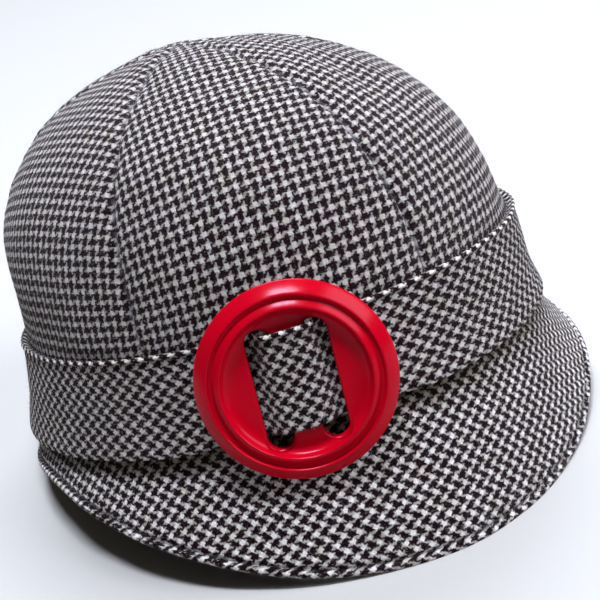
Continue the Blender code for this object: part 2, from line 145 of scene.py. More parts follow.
def ellipse_point(half_width: float, half_length: float, angle: float) -> Vector:
    """Point of an ellipse, with angle 0 at the front."""
    return Vector((half_width * math.sin(angle), -half_length * math.cos(angle), 0.0))


def ellipse_normal(half_width: float, half_length: float, angle: float) -> Vector:
    """Outward unit normal of an ellipse."""
    return Vector((math.sin(angle) / half_width, -math.cos(angle) / half_length, 0.0)).normalized()


def lengths_along(points: Sequence[Vector]) -> list[float]:
    """Length of a path up to each of its points.

    Args:
        points: The path's points.

    Returns:
        One length for each point, the first 0.
    """
    lengths = [0.0]
    for start, end in zip(points, points[1:]):
        lengths.append(lengths[-1] + (end - start).length)
    return lengths


@dataclass(frozen=True)
class Dent:
    """Soft dent in the crown, seen from above.

    Place and half sizes are shares of the waist's half sizes, direction is in degrees from the front, and
    depth is a share of the crown's dent depth.
    """

    aside: float
    forward: float
    direction: float
    half_length: float
    half_width: float
    depth: float


@dataclass(frozen=True)
class CrownForm:
    """The crown's outer face about its own leaning axis, as in its solids.

    The soft cloth settles by the sizes named aside and sink: its waist moves aside between two heights,
    which are shares of the band's width and of the rise over it, and its top sinks in the same way.
    """

    foot_half_width: float = 0.0880
    foot_half_length: float = 0.0970
    waist_half_width: float = 0.0832
    waist_half_length: float = 0.0942
    rise: float = 0.0822
    setback: float = 0.0128
    point_back: float = 0.0040
    lean: float = math.radians(10.5)
    foot_height: float = 0.0270
    band_width: float = 0.0294
    gores: int = 6
    valley_depth: float = 0.0009
    valley_width: float = 0.0070
    dent_depth: float = 0.0018
    shoulder_power: float = 2.77
    top_power: float = 1.73
    slimness: float = 0.015
    middle_share: float = 0.3
    fade_rise: float = 0.20
    fade_point: float = 0.25
    aside: float = 0.0019
    aside_direction: float = math.radians(-33.0)
    aside_from: float = 1.2
    aside_fade: float = 0.55
    sink: float = 0.0011
    sink_from: float = 1.6
    sink_fade: float = 0.75
    halvings: int = 30
    dents: tuple[Dent, ...] = (
        Dent(-0.20, 0.45, 68, 0.24, 0.11, 0.60),
        Dent(0.27, 0.63, 4, 0.27, 0.12, 1.00),
    )

    def ring(self, height: float) -> tuple[float, float, float]:
        """Size of the crown's face at one height.

        Args:
            height: Height above the crown's foot.

        Returns:
            Half width, half length and setback.
        """
        if height <= self.band_width:
            share = height / self.band_width
            half_width = self.foot_half_width + (self.waist_half_width - self.foot_half_width) * share
            half_length = self.foot_half_length + (self.waist_half_length - self.foot_half_length) * share
            return half_width, half_length, 0.0
        share = min((height - self.band_width) / self.rise, 1.0)
        size = (1.0 - share ** self.shoulder_power) ** (1.0 / self.top_power)
        size *= 1.0 - self.slimness * 4.0 * share * (1.0 - share)
        return self.waist_half_width * size, self.waist_half_length * size, self.setback * share ** 2

    def dome_height(self, plan: Vector) -> float:
        """Height of the crown's face over a plan place, found by halving.

        Args:
            plan: Place inside the waist, seen from above.

        Returns:
            Height above the crown's foot.
        """
        low, high = 0.0, 1.0
        for _ in range(self.halvings):
            share = 0.5 * (low + high)
            half_width, half_length, setback = self.ring(self.band_width + self.rise * share)
            if half_width <= 0.0:
                high = share
                continue
            outside = (plan.x / half_width) ** 2 + ((plan.y - setback) / half_length) ** 2
            if outside > 1.0:
                high = share
            else:
                low = share
        return self.band_width + self.rise * low

    def point_plan(self) -> Vector:
        """Plan place of the point where the gores meet."""
        return Vector((0.0, self.point_back, 0.0))

    def waist(self, angle: float) -> Vector:
        """Plan place on the crown's waist, above the band."""
        return ellipse_point(self.waist_half_width, self.waist_half_length, angle)

    def seam_distance(self, angle: float, share: float) -> float:
        """Distance, seen from above, from a place on the dome to the nearest gore seam.

        Args:
            angle: Direction from the crown's axis.
            share: Share of the way from the waist to the crown's point.

        Returns:
            The distance in metres.
        """
        gore_angle = 2.0 * math.pi / self.gores
        seam_foot = self.waist(gore_angle * round(angle / gore_angle))
        return (self.waist(angle) - seam_foot).length * (1.0 - share)

    def valley(self, plan: Vector, distance: float, height: float) -> float:
        """Depth of the soft valley along a seam; it fades at the band and at the crown's point.

        Args:
            plan: Place seen from above.
            distance: Distance from the nearest seam.
            height: Height above the crown's foot.

        Returns:
            The depth in metres.
        """
        above_band = smooth_step((height - self.band_width) / (self.fade_rise * self.rise))
        from_point = (plan - self.point_plan()).length
        near_point = smooth_step(from_point / (self.fade_point * self.waist_half_width))
        beside_seam = 1.0 - smooth_step(distance / (0.5 * self.valley_width))
        return self.valley_depth * beside_seam * above_band * near_point

    def dent_dip(self, plan: Vector) -> float:
        """Depth of the crown's soft dents.

        Args:
            plan: Place seen from above.

        Returns:
            The depth in metres.
        """
        dip = 0.0
        for dent in self.dents:
            aside = dent.aside * self.waist_half_width
            forward = dent.forward * self.waist_half_length
            turn = math.radians(dent.direction)
            offset = plan - Vector((aside, -forward, 0.0))
            along = abs(offset.dot(Vector((math.sin(turn), -math.cos(turn), 0.0))))
            across = abs(offset.dot(Vector((math.cos(turn), math.sin(turn), 0.0))))
            lengthwise = 1.0 - smooth_step(along / (dent.half_length * self.waist_half_width))
            crosswise = 1.0 - smooth_step(across / (dent.half_width * self.waist_half_width))
            dip += dent.depth * self.dent_depth * lengthwise * crosswise
        return dip

    def middle(self) -> Vector:
        """Point inside the crown that its face looks away from."""
        return Vector((0.0, self.setback, self.band_width + self.middle_share * self.rise))

    def dome_point(self, angle: float, share: float) -> Vector:
        """Point of the dome, with its valleys and dents.

        Args:
            angle: Direction from the crown's axis.
            share: Share of the way from the waist to the crown's point.

        Returns:
            The point about the crown's axis.
        """
        plan = self.waist(angle).lerp(self.point_plan(), share)
        height = self.dome_height(plan)
        point = Vector((plan.x, plan.y, height))
        dip = self.valley(plan, self.seam_distance(angle, share), height) + self.dent_dip(plan)
        return point - dip * (point - self.middle()).normalized()

    def wall_point(self, angle: float, height: float) -> Vector:
        """Point of the crown's wall behind the band.

        Args:
            angle: Direction from the crown's axis.
            height: Height above the crown's foot.

        Returns:
            The point about the crown's axis.
        """
        half_width, half_length, _ = self.ring(height)
        point = ellipse_point(half_width, half_length, angle)
        point.z = height
        return point

    def settle(self, point: Vector) -> Vector:
        """Point moved as the soft cloth settles: the waist leans a little to one side and the top sinks.

        Args:
            point: Place about the crown's axis.

        Returns:
            The place after settling; the middle of the front and of the back stay as they are.
        """
        side = Vector((math.cos(self.aside_direction), math.sin(self.aside_direction), 0.0))
        from_middle = min(abs(point.dot(side)) / self.waist_half_width, 1.0)
        rising = smooth_step(point.z / self.band_width)
        over_waist = point.z - self.aside_from * self.band_width
        falling = 1.0 - smooth_step(over_waist / (self.aside_fade * self.rise))
        over_shoulder = point.z - self.sink_from * self.band_width
        sunk = self.sink * smooth_step(over_shoulder / (self.sink_fade * self.rise))
        return point + self.aside * from_middle ** 2 * rising * falling * side - Vector((0.0, 0.0, sunk))

    def axis(self, shift: Vector) -> Matrix:
        """Place of the crown's axis, moved by the hat's centring shift."""
        place = Matrix.Translation((shift.x, shift.y, self.foot_height))
        return place @ Matrix.Rotation(-self.lean, 4, "X")


@dataclass(frozen=True)
class BrimForm:
    """The brim's outer face, from the crown's foot down to the edge that rests, as in its solid.

    Reaches and arches are shares of the reach and of the side arch in twelve directions, from the front
    towards the wearer's left.  In the scene the brim is fuller in one direction, given in degrees.
    """

    crown: CrownForm
    reach: float = 0.0178
    side_arch: float = 0.0150
    cloth: float = 0.0026
    rest_press: float = 0.0003
    flare_power: float = 1.15
    gap: float = 0.0003
    box_steps: int = 72
    fuller_at: float = -8.0
    fuller_by: float = 0.0016
    fuller_spread: float = 15.0
    reaches: tuple[float, ...] = (1.00, 0.87, 0.94, 0.39, 0.27, 0.42, 0.52, 0.42, 0.20, 0.39, 0.77, 0.99)
    arches: tuple[float, ...] = (0.00, 0.16, 0.74, 1.14, 0.30, 0.00, 0.00, 0.00, 0.36, 1.13, 0.80, 0.14)

    def foot(self, angle: float, inset: float = 0.0) -> Vector:
        """Point of the crown's foot ring, as the hat stands.

        Args:
            angle: Direction from the crown's axis.
            inset: How far the ring is set into the cloth.

        Returns:
            The point, before the centring shift.
        """
        half_width = self.crown.foot_half_width - inset
        half_length = self.crown.foot_half_length - inset
        local = ellipse_point(half_width, half_length, angle)
        local.z = -self.gap
        return self.crown.axis(Vector()) @ local

    def edge(self, angle: float) -> Vector:
        """Lower outer edge of the brim.

        Args:
            angle: Direction from the crown's axis.

        Returns:
            The edge's point, before the centring shift.
        """
        degrees = math.degrees(angle)
        reach = self.reach * round_table(self.reaches, degrees)
        from_fuller = (degrees - self.fuller_at + 180.0) % 360.0 - 180.0
        reach += self.fuller_by * math.exp(-(from_fuller / self.fuller_spread) ** 2)
        arch = max(0.0, self.side_arch * round_table(self.arches, degrees) - self.rest_press)
        foot = self.foot(angle)
        standing_length = self.crown.foot_half_length * math.cos(self.crown.lean)
        normal = ellipse_normal(self.crown.foot_half_width, standing_length, angle)
        return Vector((foot.x + reach * normal.x, foot.y + reach * normal.y, arch))

    def face(self, angle: float, share: float) -> Vector:
        """Point of the brim's face.

        Args:
            angle: Direction from the crown's axis.
            share: Share of the way down the brim's fall.

        Returns:
            The point, before the centring shift.
        """
        foot = self.foot(angle)
        edge = self.edge(angle)
        flare = Vector((edge.x - foot.x, edge.y - foot.y, 0.0))
        return foot.lerp(edge, share) - (share - share ** self.flare_power) * flare

    def shift(self) -> Vector:
        """How far the hat is moved so that its box is centred on the origin.

        Returns:
            The move in the table's plane, from the brim without its fuller front.
        """
        even = replace(self, fuller_by=0.0)
        edge = [even.edge(2.0 * math.pi * step / self.box_steps) for step in range(self.box_steps)]
        across = [point.x for point in edge]
        along = [point.y for point in edge]
        return -0.5 * Vector((min(across) + max(across), min(along) + max(along), 0.0))


@dataclass(frozen=True)
class BandForm:
    """The band's cross-section.

    A row is a height, as a share of the band's width, and a depth from the inner face, as a share of the
    cloth.  A row of the fold has, in place of the depth, the share by which it stands proud of the cloth.
    """

    crown: CrownForm
    cloth: float = 0.0020
    fold_proud: float = 0.0008
    gap: float = 0.0003
    outer_rows: tuple[Row, ...] = (
        (0.000, 0.70), (0.025, 1.00), (0.330, 1.05), (0.660, 1.00), (0.900, 1.00),
    )
    fold_rows: tuple[Row, ...] = ((0.935, 0.75), (0.965, 1.00), (0.990, 0.55))
    inner_rows: tuple[Row, ...] = (
        (1.000, 0.50), (0.985, 0.08), (0.930, 0.00), (0.500, 0.00), (0.030, 0.00), (0.000, 0.20),
    )

    def outside(self) -> list[Row]:
        """The band's outer face.

        Returns:
            Heights and depths in metres, from its foot to over its fold.
        """
        rows = [(height * self.crown.band_width, depth * self.cloth) for height, depth in self.outer_rows]
        for height, proud in self.fold_rows:
            rows.append((height * self.crown.band_width, self.cloth + proud * self.fold_proud))
        return rows

    def inside(self) -> list[Row]:
        """Heights and depths of the band's inner face, in metres, from its fold to its foot."""
        return [(height * self.crown.band_width, depth * self.cloth) for height, depth in self.inner_rows]


@dataclass(frozen=True)
class BuckleForm:
    """The slide buckle's sizes and its rest on the cloth behind it, as in its solid."""

    crown: CrownForm
    band: BandForm
    brim: BrimForm
    radius: float = 0.0285
    visible_radius: float = 0.0290
    thickness: float = 0.0056
    floor: float = 0.0024
    azimuth: float = math.radians(-31.0)
    tilt: float = math.radians(-1.0)
    turn: float = math.radians(-3.0)
    bar_width: float = 0.0086
    slot_width: float = 0.0075
    slot_clearance: float = 0.0016
    back_share: float = 0.93
    support_steps: int = 40

    def directions(self) -> tuple[Vector, Vector]:
        """Directions at the buckle.

        Returns:
            Outward from the wall, and sideways along it.
        """
        half_width, half_length, _ = self.crown.ring(0.5 * self.crown.band_width)
        outward = ellipse_normal(half_width, half_length, self.azimuth)
        return outward, Vector((0.0, 0.0, 1.0)).cross(outward).normalized()

    def curve_drop(self, sideways: float) -> float:
        """How far the crown's wall falls away from its tangent at the buckle.

        Args:
            sideways: Distance to the side of the buckle's middle.

        Returns:
            The drop in metres.
        """
        half_width, half_length, _ = self.crown.ring(0.5 * self.crown.band_width)
        aside = math.sin(self.azimuth) ** 2 * half_length ** 2
        ahead = math.cos(self.azimuth) ** 2 * half_width ** 2
        radius = (aside + ahead) ** 1.5 / (half_width * half_length)
        return radius - math.sqrt(max(radius ** 2 - sideways ** 2, 0.0))

    def outward_offset(self, point: Vector) -> float:
        """How far a point about the crown's axis stands out from the wall behind the buckle's middle."""
        outward, _ = self.directions()
        return (point - self.crown.wall_point(self.azimuth, 0.5 * self.crown.band_width)).dot(outward)

    def wall_offset(self, height: float) -> float:
        """How far the crown's face stands out from the wall behind the buckle's middle.

        Args:
            height: Height above the crown's foot.

        Returns:
            The offset in metres, outward.
        """
        half_width, half_length, setback = self.crown.ring(height)
        point = ellipse_point(half_width, half_length, self.azimuth)
        return self.outward_offset(point + Vector((0.0, setback, 0.0)))

    def rest(self) -> tuple[float, float]:
        """How the buckle rests on the cloth behind it.

        Returns:
            Its lean against the crown's axis, and the offset of its seat at the band's middle.
        """
        middle = 0.5 * self.crown.band_width
        back = self.back_share * self.radius
        under_sides = self.band.gap - self.curve_drop(0.5 * self.bar_width + self.slot_width)
        cloth = [
            (height, self.wall_offset(height) + depth + under_sides)
            for height, depth in self.band.outside()
        ]
        cloth.append((middle + back, self.wall_offset(middle + back)))
        to_axis = self.crown.axis(Vector()).inverted()
        for step in range(self.support_steps + 1):
            point = to_axis @ self.brim.face(self.azimuth, step / self.support_steps)
            if point.z >= middle - back:
                cloth.append((point.z, self.outward_offset(point)))
        lean = self.tilt + max(
            (
                (upper[1] * (middle - lower[0]) + lower[1] * (upper[0] - middle)) / (upper[0] - lower[0]),
                math.atan2(lower[1] - upper[1], upper[0] - lower[0]),
            )
            for upper in cloth if upper[0] > middle
            for lower in cloth if lower[0] < middle
        )[1]
        return lean, max(offset + math.tan(lean) * (height - middle) for height, offset in cloth)

    def place(self) -> Matrix:
        """Place of the buckle about the crown's axis.

        Returns:
            The place, with its face along local +Z and its top along local +Y.
        """
        outward, sideways = self.directions()
        lean, seat = self.rest()
        upright = Vector((0.0, 0.0, 1.0))
        turn = Matrix.Rotation(-lean, 3, sideways) @ Matrix((sideways, upright, outward)).transposed()
        wall = self.crown.wall_point(self.azimuth, 0.5 * self.crown.band_width)
        origin = wall + (self.band.gap + seat) * outward
        return Matrix.Translation(origin) @ turn.to_4x4() @ Matrix.Rotation(self.turn, 4, "Z")

    def distance_aside(self, angle: float) -> float:
        """Distance to the side of the buckle's middle, along the wall's tangent there.

        Args:
            angle: Direction from the crown's axis.

        Returns:
            The distance in metres; large on the far side of the hat.
        """
        half_width, half_length, _ = self.crown.ring(0.5 * self.crown.band_width)
        outward, sideways = self.directions()
        point = ellipse_point(half_width, half_length, angle)
        if point.dot(outward) < 0.0:
            return half_length
        return abs((point - ellipse_point(half_width, half_length, self.azimuth)).dot(sideways))

    def slot_straight(self, lean: float) -> float:
        """Half length of a slot's straight sides, for the band at the buckle's lean."""
        return 0.5 * (self.crown.band_width / math.cos(lean) - self.slot_width) + self.slot_clearance

    def slot_pinch(self, over_middle: float, lean: float) -> float:
        """How much a slot's round end narrows it on each side.

        Args:
            over_middle: Height over the buckle's middle.
            lean: The buckle's lean, from rest().

        Returns:
            The narrowing in metres, 0 along the slot's straight sides.
        """
        radius = 0.5 * self.slot_width
        into_end = max(abs(over_middle) / math.cos(lean) - self.slot_straight(lean), 0.0)
        return radius - math.sqrt(max(radius ** 2 - into_end ** 2, 0.0))

    def band_rise(self, angle: float, height: float, rest: tuple[float, float]) -> float:
        """How far the band is lifted off the crown, to pass over the buckle's bar.

        Args:
            angle: Direction from the crown's axis.
            height: Height above the crown's foot.
            rest: The buckle's lean and seat, from rest().

        Returns:
            The lift, 0 away from the buckle.
        """
        half_width, half_length, _ = self.crown.ring(0.5 * self.crown.band_width)
        outward, sideways = self.directions()
        point = ellipse_point(half_width, half_length, angle)
        if point.dot(outward) < 0.0:
            return 0.0
        lean, seat = rest
        over_middle = height - 0.5 * self.crown.band_width
        offset = point - ellipse_point(half_width, half_length, self.azimuth)
        from_bar = abs(offset.dot(sideways) + math.tan(self.turn) * over_middle) * math.cos(self.turn)
        bar_top = seat - math.tan(lean) * over_middle + self.floor / math.cos(lean)
        over_bar = bar_top + self.band.gap + self.curve_drop(0.5 * self.bar_width)
        over_bar -= self.wall_offset(height)
        room = self.band.gap + self.slot_pinch(over_middle, lean)
        start = 0.5 * self.bar_width + room
        run = self.slot_width - 2.0 * room
        return over_bar * (1.0 - smooth_step((from_bar - start) / run))


def opaque(colour: Colour) -> tuple[float, float, float, float]:
    """Colour with nothing see-through about it."""
    return (*colour, 1.0)


@dataclass(frozen=True)
class Grain:
    """Noise whose blobs have about a size in metres."""

    size: float
    detail: float = 2.0
    roughness: float = 0.5


@dataclass(frozen=True)
class Line:
    """Straight line: base where a value is 0, and gain more where it is 1."""

    base: float
    gain: float


@dataclass(frozen=True)
class Ease:
    """Soft step from start to end while a value goes from low to high."""

    low: float
    high: float
    start: float
    end: float


@dataclass
class Graph:
    """Short calls for wiring one material's nodes."""

    name: str
    material: bpy.types.Material = field(init=False)

    def __post_init__(self) -> None:
        """Make the material, which holds a Principled BSDF and its output."""
        self.material = bpy.data.materials.new(self.name)
        self.material.use_nodes = True

    def feed(self, socket: Socket, value: Value) -> None:
        """Set a socket to a number or a colour, or link it to another socket.

        Args:
            socket: The input.
            value: What it gets.
        """
        if isinstance(value, Socket):
            self.material.node_tree.links.new(value, socket)
        else:
            socket.default_value = value

    def dress(self, values: dict[str, Value]) -> bpy.types.Material:
        """Feed the material's Principled BSDF.

        Args:
            values: What each named input gets.

        Returns:
            The finished material.
        """
        shader = self.material.node_tree.nodes["Principled BSDF"]
        for name, value in values.items():
            self.feed(shader.inputs[name], value)
        return self.material

    def result(
        self,
        kind: str,
        values: Sequence[Value] = (),
        inputs: Sequence[int | str] = (),
        output: int | str = 0,
        **settings: object,
    ) -> Socket:
        """Result of a new node.

        Args:
            kind: Type of the node.
            values: What its inputs get.
            inputs: Which inputs those are, by place or name; the first ones if none is given.
            output: Which output is the result.
            **settings: The node's properties.

        Returns:
            The result.
        """
        node = self.material.node_tree.nodes.new(kind)
        for name, setting in settings.items():
            setattr(node, name, setting)
        for place, value in zip(inputs or range(len(values)), values):
            self.feed(node.inputs[place], value)
        return node.outputs[output]

    def math(self, operation: str, *values: Value) -> Socket:
        """Number worked out from others."""
        return self.result("ShaderNodeMath", values, operation=operation)

    def vector_math(self, operation: str, *values: Value) -> Socket:
        """Vector worked out from others."""
        return self.result("ShaderNodeVectorMath", values, operation=operation)

    def blend(self, share: Value, first: Value, second: Value) -> Socket:
        """Number between first and second, second where share is 1."""
        return self.result("ShaderNodeMix", (share, first, second), (0, 2, 3), data_type="FLOAT")

    def blend_colour(self, share: Value, first: Value, second: Value) -> Socket:
        """Colour between first and second, second where share is 1."""
        return self.result("ShaderNodeMix", (share, first, second), (0, 6, 7), 2, data_type="RGBA")

    def tint(self, colour: Value, strength: Value) -> Socket:
        """Colour multiplied by a number."""
        return self.result("ShaderNodeVectorMath", (colour, strength), (0, "Scale"), operation="SCALE")

    def line(self, value: Value, line: Line) -> Socket:
        """Number that follows a straight line."""
        return self.math("MULTIPLY_ADD", value, line.gain, line.base)

    def ease(self, value: Value, ease: Ease) -> Socket:
        """Number that follows a soft step."""
        values = (value, ease.low, ease.high, ease.start, ease.end)
        return self.result("ShaderNodeMapRange", values, interpolation_type="SMOOTHSTEP")

    def clamped(self, value: Value) -> Socket:
        """Number kept between 0 and 1."""
        return self.math("MINIMUM", self.math("MAXIMUM", value, 0.0), 1.0)

    def noise(self, place: Socket, grain: Grain, output: str = "Fac") -> Socket:
        """Noise at a place.

        Args:
            place: The place in metres.
            grain: The noise's blobs.
            output: "Fac" for a number from 0 to 1, or "Color" for three.

        Returns:
            The noise.
        """
        values = (place, 1.0 / grain.size, grain.detail, grain.roughness)
        inputs = ("Vector", "Scale", "Detail", "Roughness")
        return self.result("ShaderNodeTexNoise", values, inputs, output, noise_dimensions="3D")

    def bump(
        self, height: Socket, distance: float, strength: float, normal: Socket | None = None,
    ) -> Socket:
        """Normal turned by a height.

        Args:
            height: Height socket, 0 to 1.
            distance: Metres that a height of 1 stands up.
            strength: Share of the effect.
            normal: Normal to start from, if another bump comes first.

        Returns:
            The turned normal.
        """
        values = [height, distance, strength]
        if normal is not None:
            values.append(normal)
        return self.result("ShaderNodeBump", values, ("Height", "Distance", "Strength", "Normal"), "Normal")

    def map_spot(self, name: str) -> Socket:
        """Spot on one of the piece's own maps."""
        return self.result("ShaderNodeUVMap", uv_map=name)

    def object_place(self) -> Socket:
        """Place in metres on the piece itself."""
        return self.result("ShaderNodeTexCoord", output="Object")

    def part(self, vector: Socket, axis: int) -> Socket:
        """One of a vector's three numbers."""
        return self.result("ShaderNodeSeparateXYZ", (vector,), output=axis)


@dataclass(frozen=True)
class HoundstoothFinish:
    """Soft wool in a two-and-two twill of three light and three dark yarns each way.

    A piece with seams also has a seam map, whose first coordinate is the distance from the nearest seam
    and whose second runs along it. Mist is stray fibres over the yarns, haze is the soft light on the
    wool, and worn is the grey thread beside a seam.
    """

    name: str
    warp_pitch: float
    weft_pitch: float
    light: Colour = (0.645, 0.590, 0.566)
    dark: Colour = (0.0150, 0.0016, 0.0042)
    cream: Colour = (0.52, 0.48, 0.36)
    worn: Colour = (0.10, 0.096, 0.105)
    # Warm tint of the painted shade on the brim under the band's foot.
    tucked: Colour = (1.0, 0.93, 0.76)
    yarns_of_a_tone: int = 3
    float_length: int = 2
    light_share: float = 0.435
    crossing: float = 1.10
    apart: float = 0.60
    wander: float = 0.00085
    wander_grain: Grain = Grain(0.0011, 1.0)
    ragged: float = 0.00120
    ragged_grain: Grain = Grain(0.00015)
    relief: float = 0.00024
    relief_strength: float = 0.9
    float_rise: Line = Line(0.55, 0.45)
    warp_number: float = 7.3
    fibre_grain: Grain = Grain(0.00024, 3.0, 0.7)
    fibre_relief: float = 0.00012
    fibre_strength: float = 0.8
    fibre_roughness: Line = Line(0.80, 0.16)
    fibre_tone: Line = Line(0.60, 0.80)
    painted_weave_shade: Line = Line(0.54, 0.52)
    dye: Line = Line(0.88, 0.24)
    cream_grain: Grain = Grain(0.0060)
    cream_patches: Ease = Ease(0.40, 0.80, 0.0, 0.7)
    mist_grain: Grain = Grain(0.0009, 4.0, 0.75)
    mist_on_dark: Ease = Ease(0.52, 0.80, 0.0, 0.26)
    mist_on_light: Ease = Ease(0.26, 0.46, 0.62, 1.0)
    seam_reach: float = 0.0
    seam_middle: float = 0.5
    seam_edge: float = 1.6
    seam_grain: Grain = Grain(0.0042, 1.0)
    seam_patches: Ease = Ease(0.40, 0.62, 0.04, 0.60)
    streak_squash: tuple[float, float, float] = (1.0, 0.14, 1.0)
    streak_grain: Grain = Grain(0.00022)
    streak_tone: Ease = Ease(0.36, 0.68, 0.10, 2.4)
    gloss: float = 0.03
    haze: float = 0.05
    haze_roughness: float = 0.32
    haze_tint: Colour = (1.0, 0.84, 0.95)
    # Whether the shade map paints highlight and shade into the colour.
    shaded: bool = False

    def build(self) -> bpy.types.Material:
        """Returns:
            The material.
        """
        graph = Graph(self.name)
        cloth = graph.map_spot(CLOTH_MAP)
        across, along = self.yarn_places(graph, cloth)
        light, yarn, height, crossing = self.weave(graph, across, along)
        fibres = graph.noise(cloth, self.fibre_grain)
        colour = self.colour(graph, cloth, light, yarn, height, fibres)
        colour = graph.tint(colour, graph.blend(crossing, self.apart, self.crossing))
        if self.seam_reach:
            colour = self.wash_seams(graph, colour)
        if self.shaded:
            colour = self.shade(graph, colour)
        woven = graph.bump(height, self.relief, self.relief_strength)
        return graph.dress({
            "Base Color": colour,
            "Roughness": graph.line(fibres, self.fibre_roughness),
            "Specular IOR Level": self.gloss,
            "Sheen Weight": self.haze,
            "Sheen Roughness": self.haze_roughness,
            "Sheen Tint": opaque(self.haze_tint),
            "Normal": graph.bump(fibres, self.fibre_relief, self.fibre_strength, woven),
        })

    def yarn_places(self, graph: Graph, cloth: Socket) -> tuple[Socket, Socket]:
        """Place counted in yarns each way, with wandering and ragged yarns.

        Args:
            graph: The material's graph.
            cloth: Spot on the cloth map, in metres.

        Returns:
            Yarns across the warp and along it; light yarns are a little thinner than dark ones.
        """
        place = cloth
        for grain, reach in ((self.wander_grain, self.wander), (self.ragged_grain, self.ragged)):
            drift = graph.vector_math("SUBTRACT", graph.noise(cloth, grain, "Color"), (0.5, 0.5, 0.5))
            drift = graph.vector_math("MULTIPLY", drift, (reach, reach, 0.0))
            place = graph.vector_math("ADD", place, drift)
        yarns = []
        for axis, pitch in enumerate((self.warp_pitch, self.weft_pitch)):
            repeats = graph.math("DIVIDE", graph.part(place, axis), pitch * 2.0 * self.yarns_of_a_tone)
            whole = graph.math("FLOOR", repeats)
            part = graph.math("SUBTRACT", repeats, whole)
            pale = graph.math("MINIMUM", graph.math("DIVIDE", part, self.light_share), 1.0)
            deep = graph.math("SUBTRACT", part, self.light_share)
            deep = graph.math("MAXIMUM", graph.math("DIVIDE", deep, 1.0 - self.light_share), 0.0)
            count = graph.math("MULTIPLY", graph.math("ADD", pale, deep), float(self.yarns_of_a_tone))
            yarns.append(graph.math("MULTIPLY_ADD", whole, 2.0 * self.yarns_of_a_tone, count))
        return yarns[0], yarns[1]

    def weave(self, graph: Graph, across: Socket, along: Socket) -> tuple[Socket, ...]:
        """Yarn on top at a place in the twill.

        Args:
            graph: The material's graph.
            across: Warp yarns counted across.
            along: Weft yarns counted along.

        Returns:
            1 where a light yarn is on top, a number that names the yarn, its height from 0 to 1, and 1
            where light yarns cross light ones.
        """
        warp = graph.math("FLOOR", across)
        weft = graph.math("FLOOR", along)
        tones = 2.0 * self.yarns_of_a_tone
        pale = self.yarns_of_a_tone - 0.5
        warp_light = graph.math("LESS_THAN", graph.math("FLOORED_MODULO", warp, tones), pale)
        weft_light = graph.math("LESS_THAN", graph.math("FLOORED_MODULO", weft, tones), pale)
        turns = 2.0 * self.float_length
        step = graph.math("FLOORED_MODULO", graph.math("ADD", warp, weft), turns)
        warp_on_top = graph.math("LESS_THAN", step, self.float_length - 0.5)
        warp_run = graph.math("FLOORED_MODULO", graph.math("ADD", warp, along), turns)
        weft_run = graph.math("FLOORED_MODULO", graph.math("ADD", across, weft), turns)
        weft_run = graph.math("SUBTRACT", weft_run, float(self.float_length))
        run = graph.math("DIVIDE", graph.blend(warp_on_top, weft_run, warp_run), float(self.float_length))
        side = graph.blend(warp_on_top, graph.math("FRACT", along), graph.math("FRACT", across))
        rise = graph.line(self.arch(graph, run), self.float_rise)
        height = graph.math("MULTIPLY", self.arch(graph, side), rise)
        yarn = graph.blend(warp_on_top, weft, warp)
        yarn = graph.math("MULTIPLY_ADD", warp_on_top, self.warp_number, yarn)
        light = graph.blend(warp_on_top, weft_light, warp_light)
        return light, yarn, height, graph.math("MULTIPLY", warp_light, weft_light)

    @staticmethod
    def arch(graph: Graph, share: Socket) -> Socket:
        """Round cross-section of a yarn: 1 in its middle and 0 at its sides."""
        from_middle = graph.math("MULTIPLY_ADD", share, 2.0, -1.0)
        return graph.math("SUBTRACT", 1.0, graph.math("MULTIPLY", from_middle, from_middle))

    def colour(
        self, graph: Graph, cloth: Socket, light: Socket, yarn: Socket, height: Socket, fibres: Socket,
    ) -> Socket:
        """Colour of the yarn on top, with stray fibres, uneven dye and shade between the yarns.

        Args:
            graph: The material's graph.
            cloth: Spot on the cloth map, in metres.
            light: 1 where a light yarn is on top.
            yarn: Number that names the yarn.
            height: Height of the yarn from 0 to 1.
            fibres: Fine noise from 0 to 1.

        Returns:
            The colour.
        """
        mist = graph.noise(cloth, self.mist_grain)
        chance = graph.result("ShaderNodeTexWhiteNoise", (yarn,), ("W",), "Value", noise_dimensions="1D")
        warmth = graph.ease(graph.noise(cloth, self.cream_grain), self.cream_patches)
        pale = graph.blend_colour(warmth, opaque(self.light), opaque(self.cream))
        over_dark = graph.ease(mist, self.mist_on_dark)
        over_light = graph.ease(mist, self.mist_on_light)
        colour = graph.blend_colour(graph.blend(light, over_dark, over_light), opaque(self.dark), pale)
        tone = graph.math("MULTIPLY", graph.line(chance, self.dye), graph.line(fibres, self.fibre_tone))
        # Painted shade between the yarns: the colour is darker where a yarn lies low.
        tone = graph.math("MULTIPLY", tone, graph.line(height, self.painted_weave_shade))
        return graph.tint(colour, tone)

    def shade(self, graph: Graph, colour: Socket) -> Socket:
        """Colour with the shade map's painted highlight and painted shade; its second coordinate warms the
        shade.

        Args:
            graph: The material's graph.
            colour: Colour of the check.

        Returns:
            The shaded colour.
        """
        spot = graph.map_spot(SHADE_MAP)
        warmth = graph.blend_colour(graph.part(spot, 1), opaque((1.0, 1.0, 1.0)), opaque(self.tucked))
        # Painted highlight and shade: multiplied by the map's first coordinate, warmed by its second.
        return graph.vector_math("MULTIPLY", graph.tint(colour, graph.part(spot, 0)), warmth)

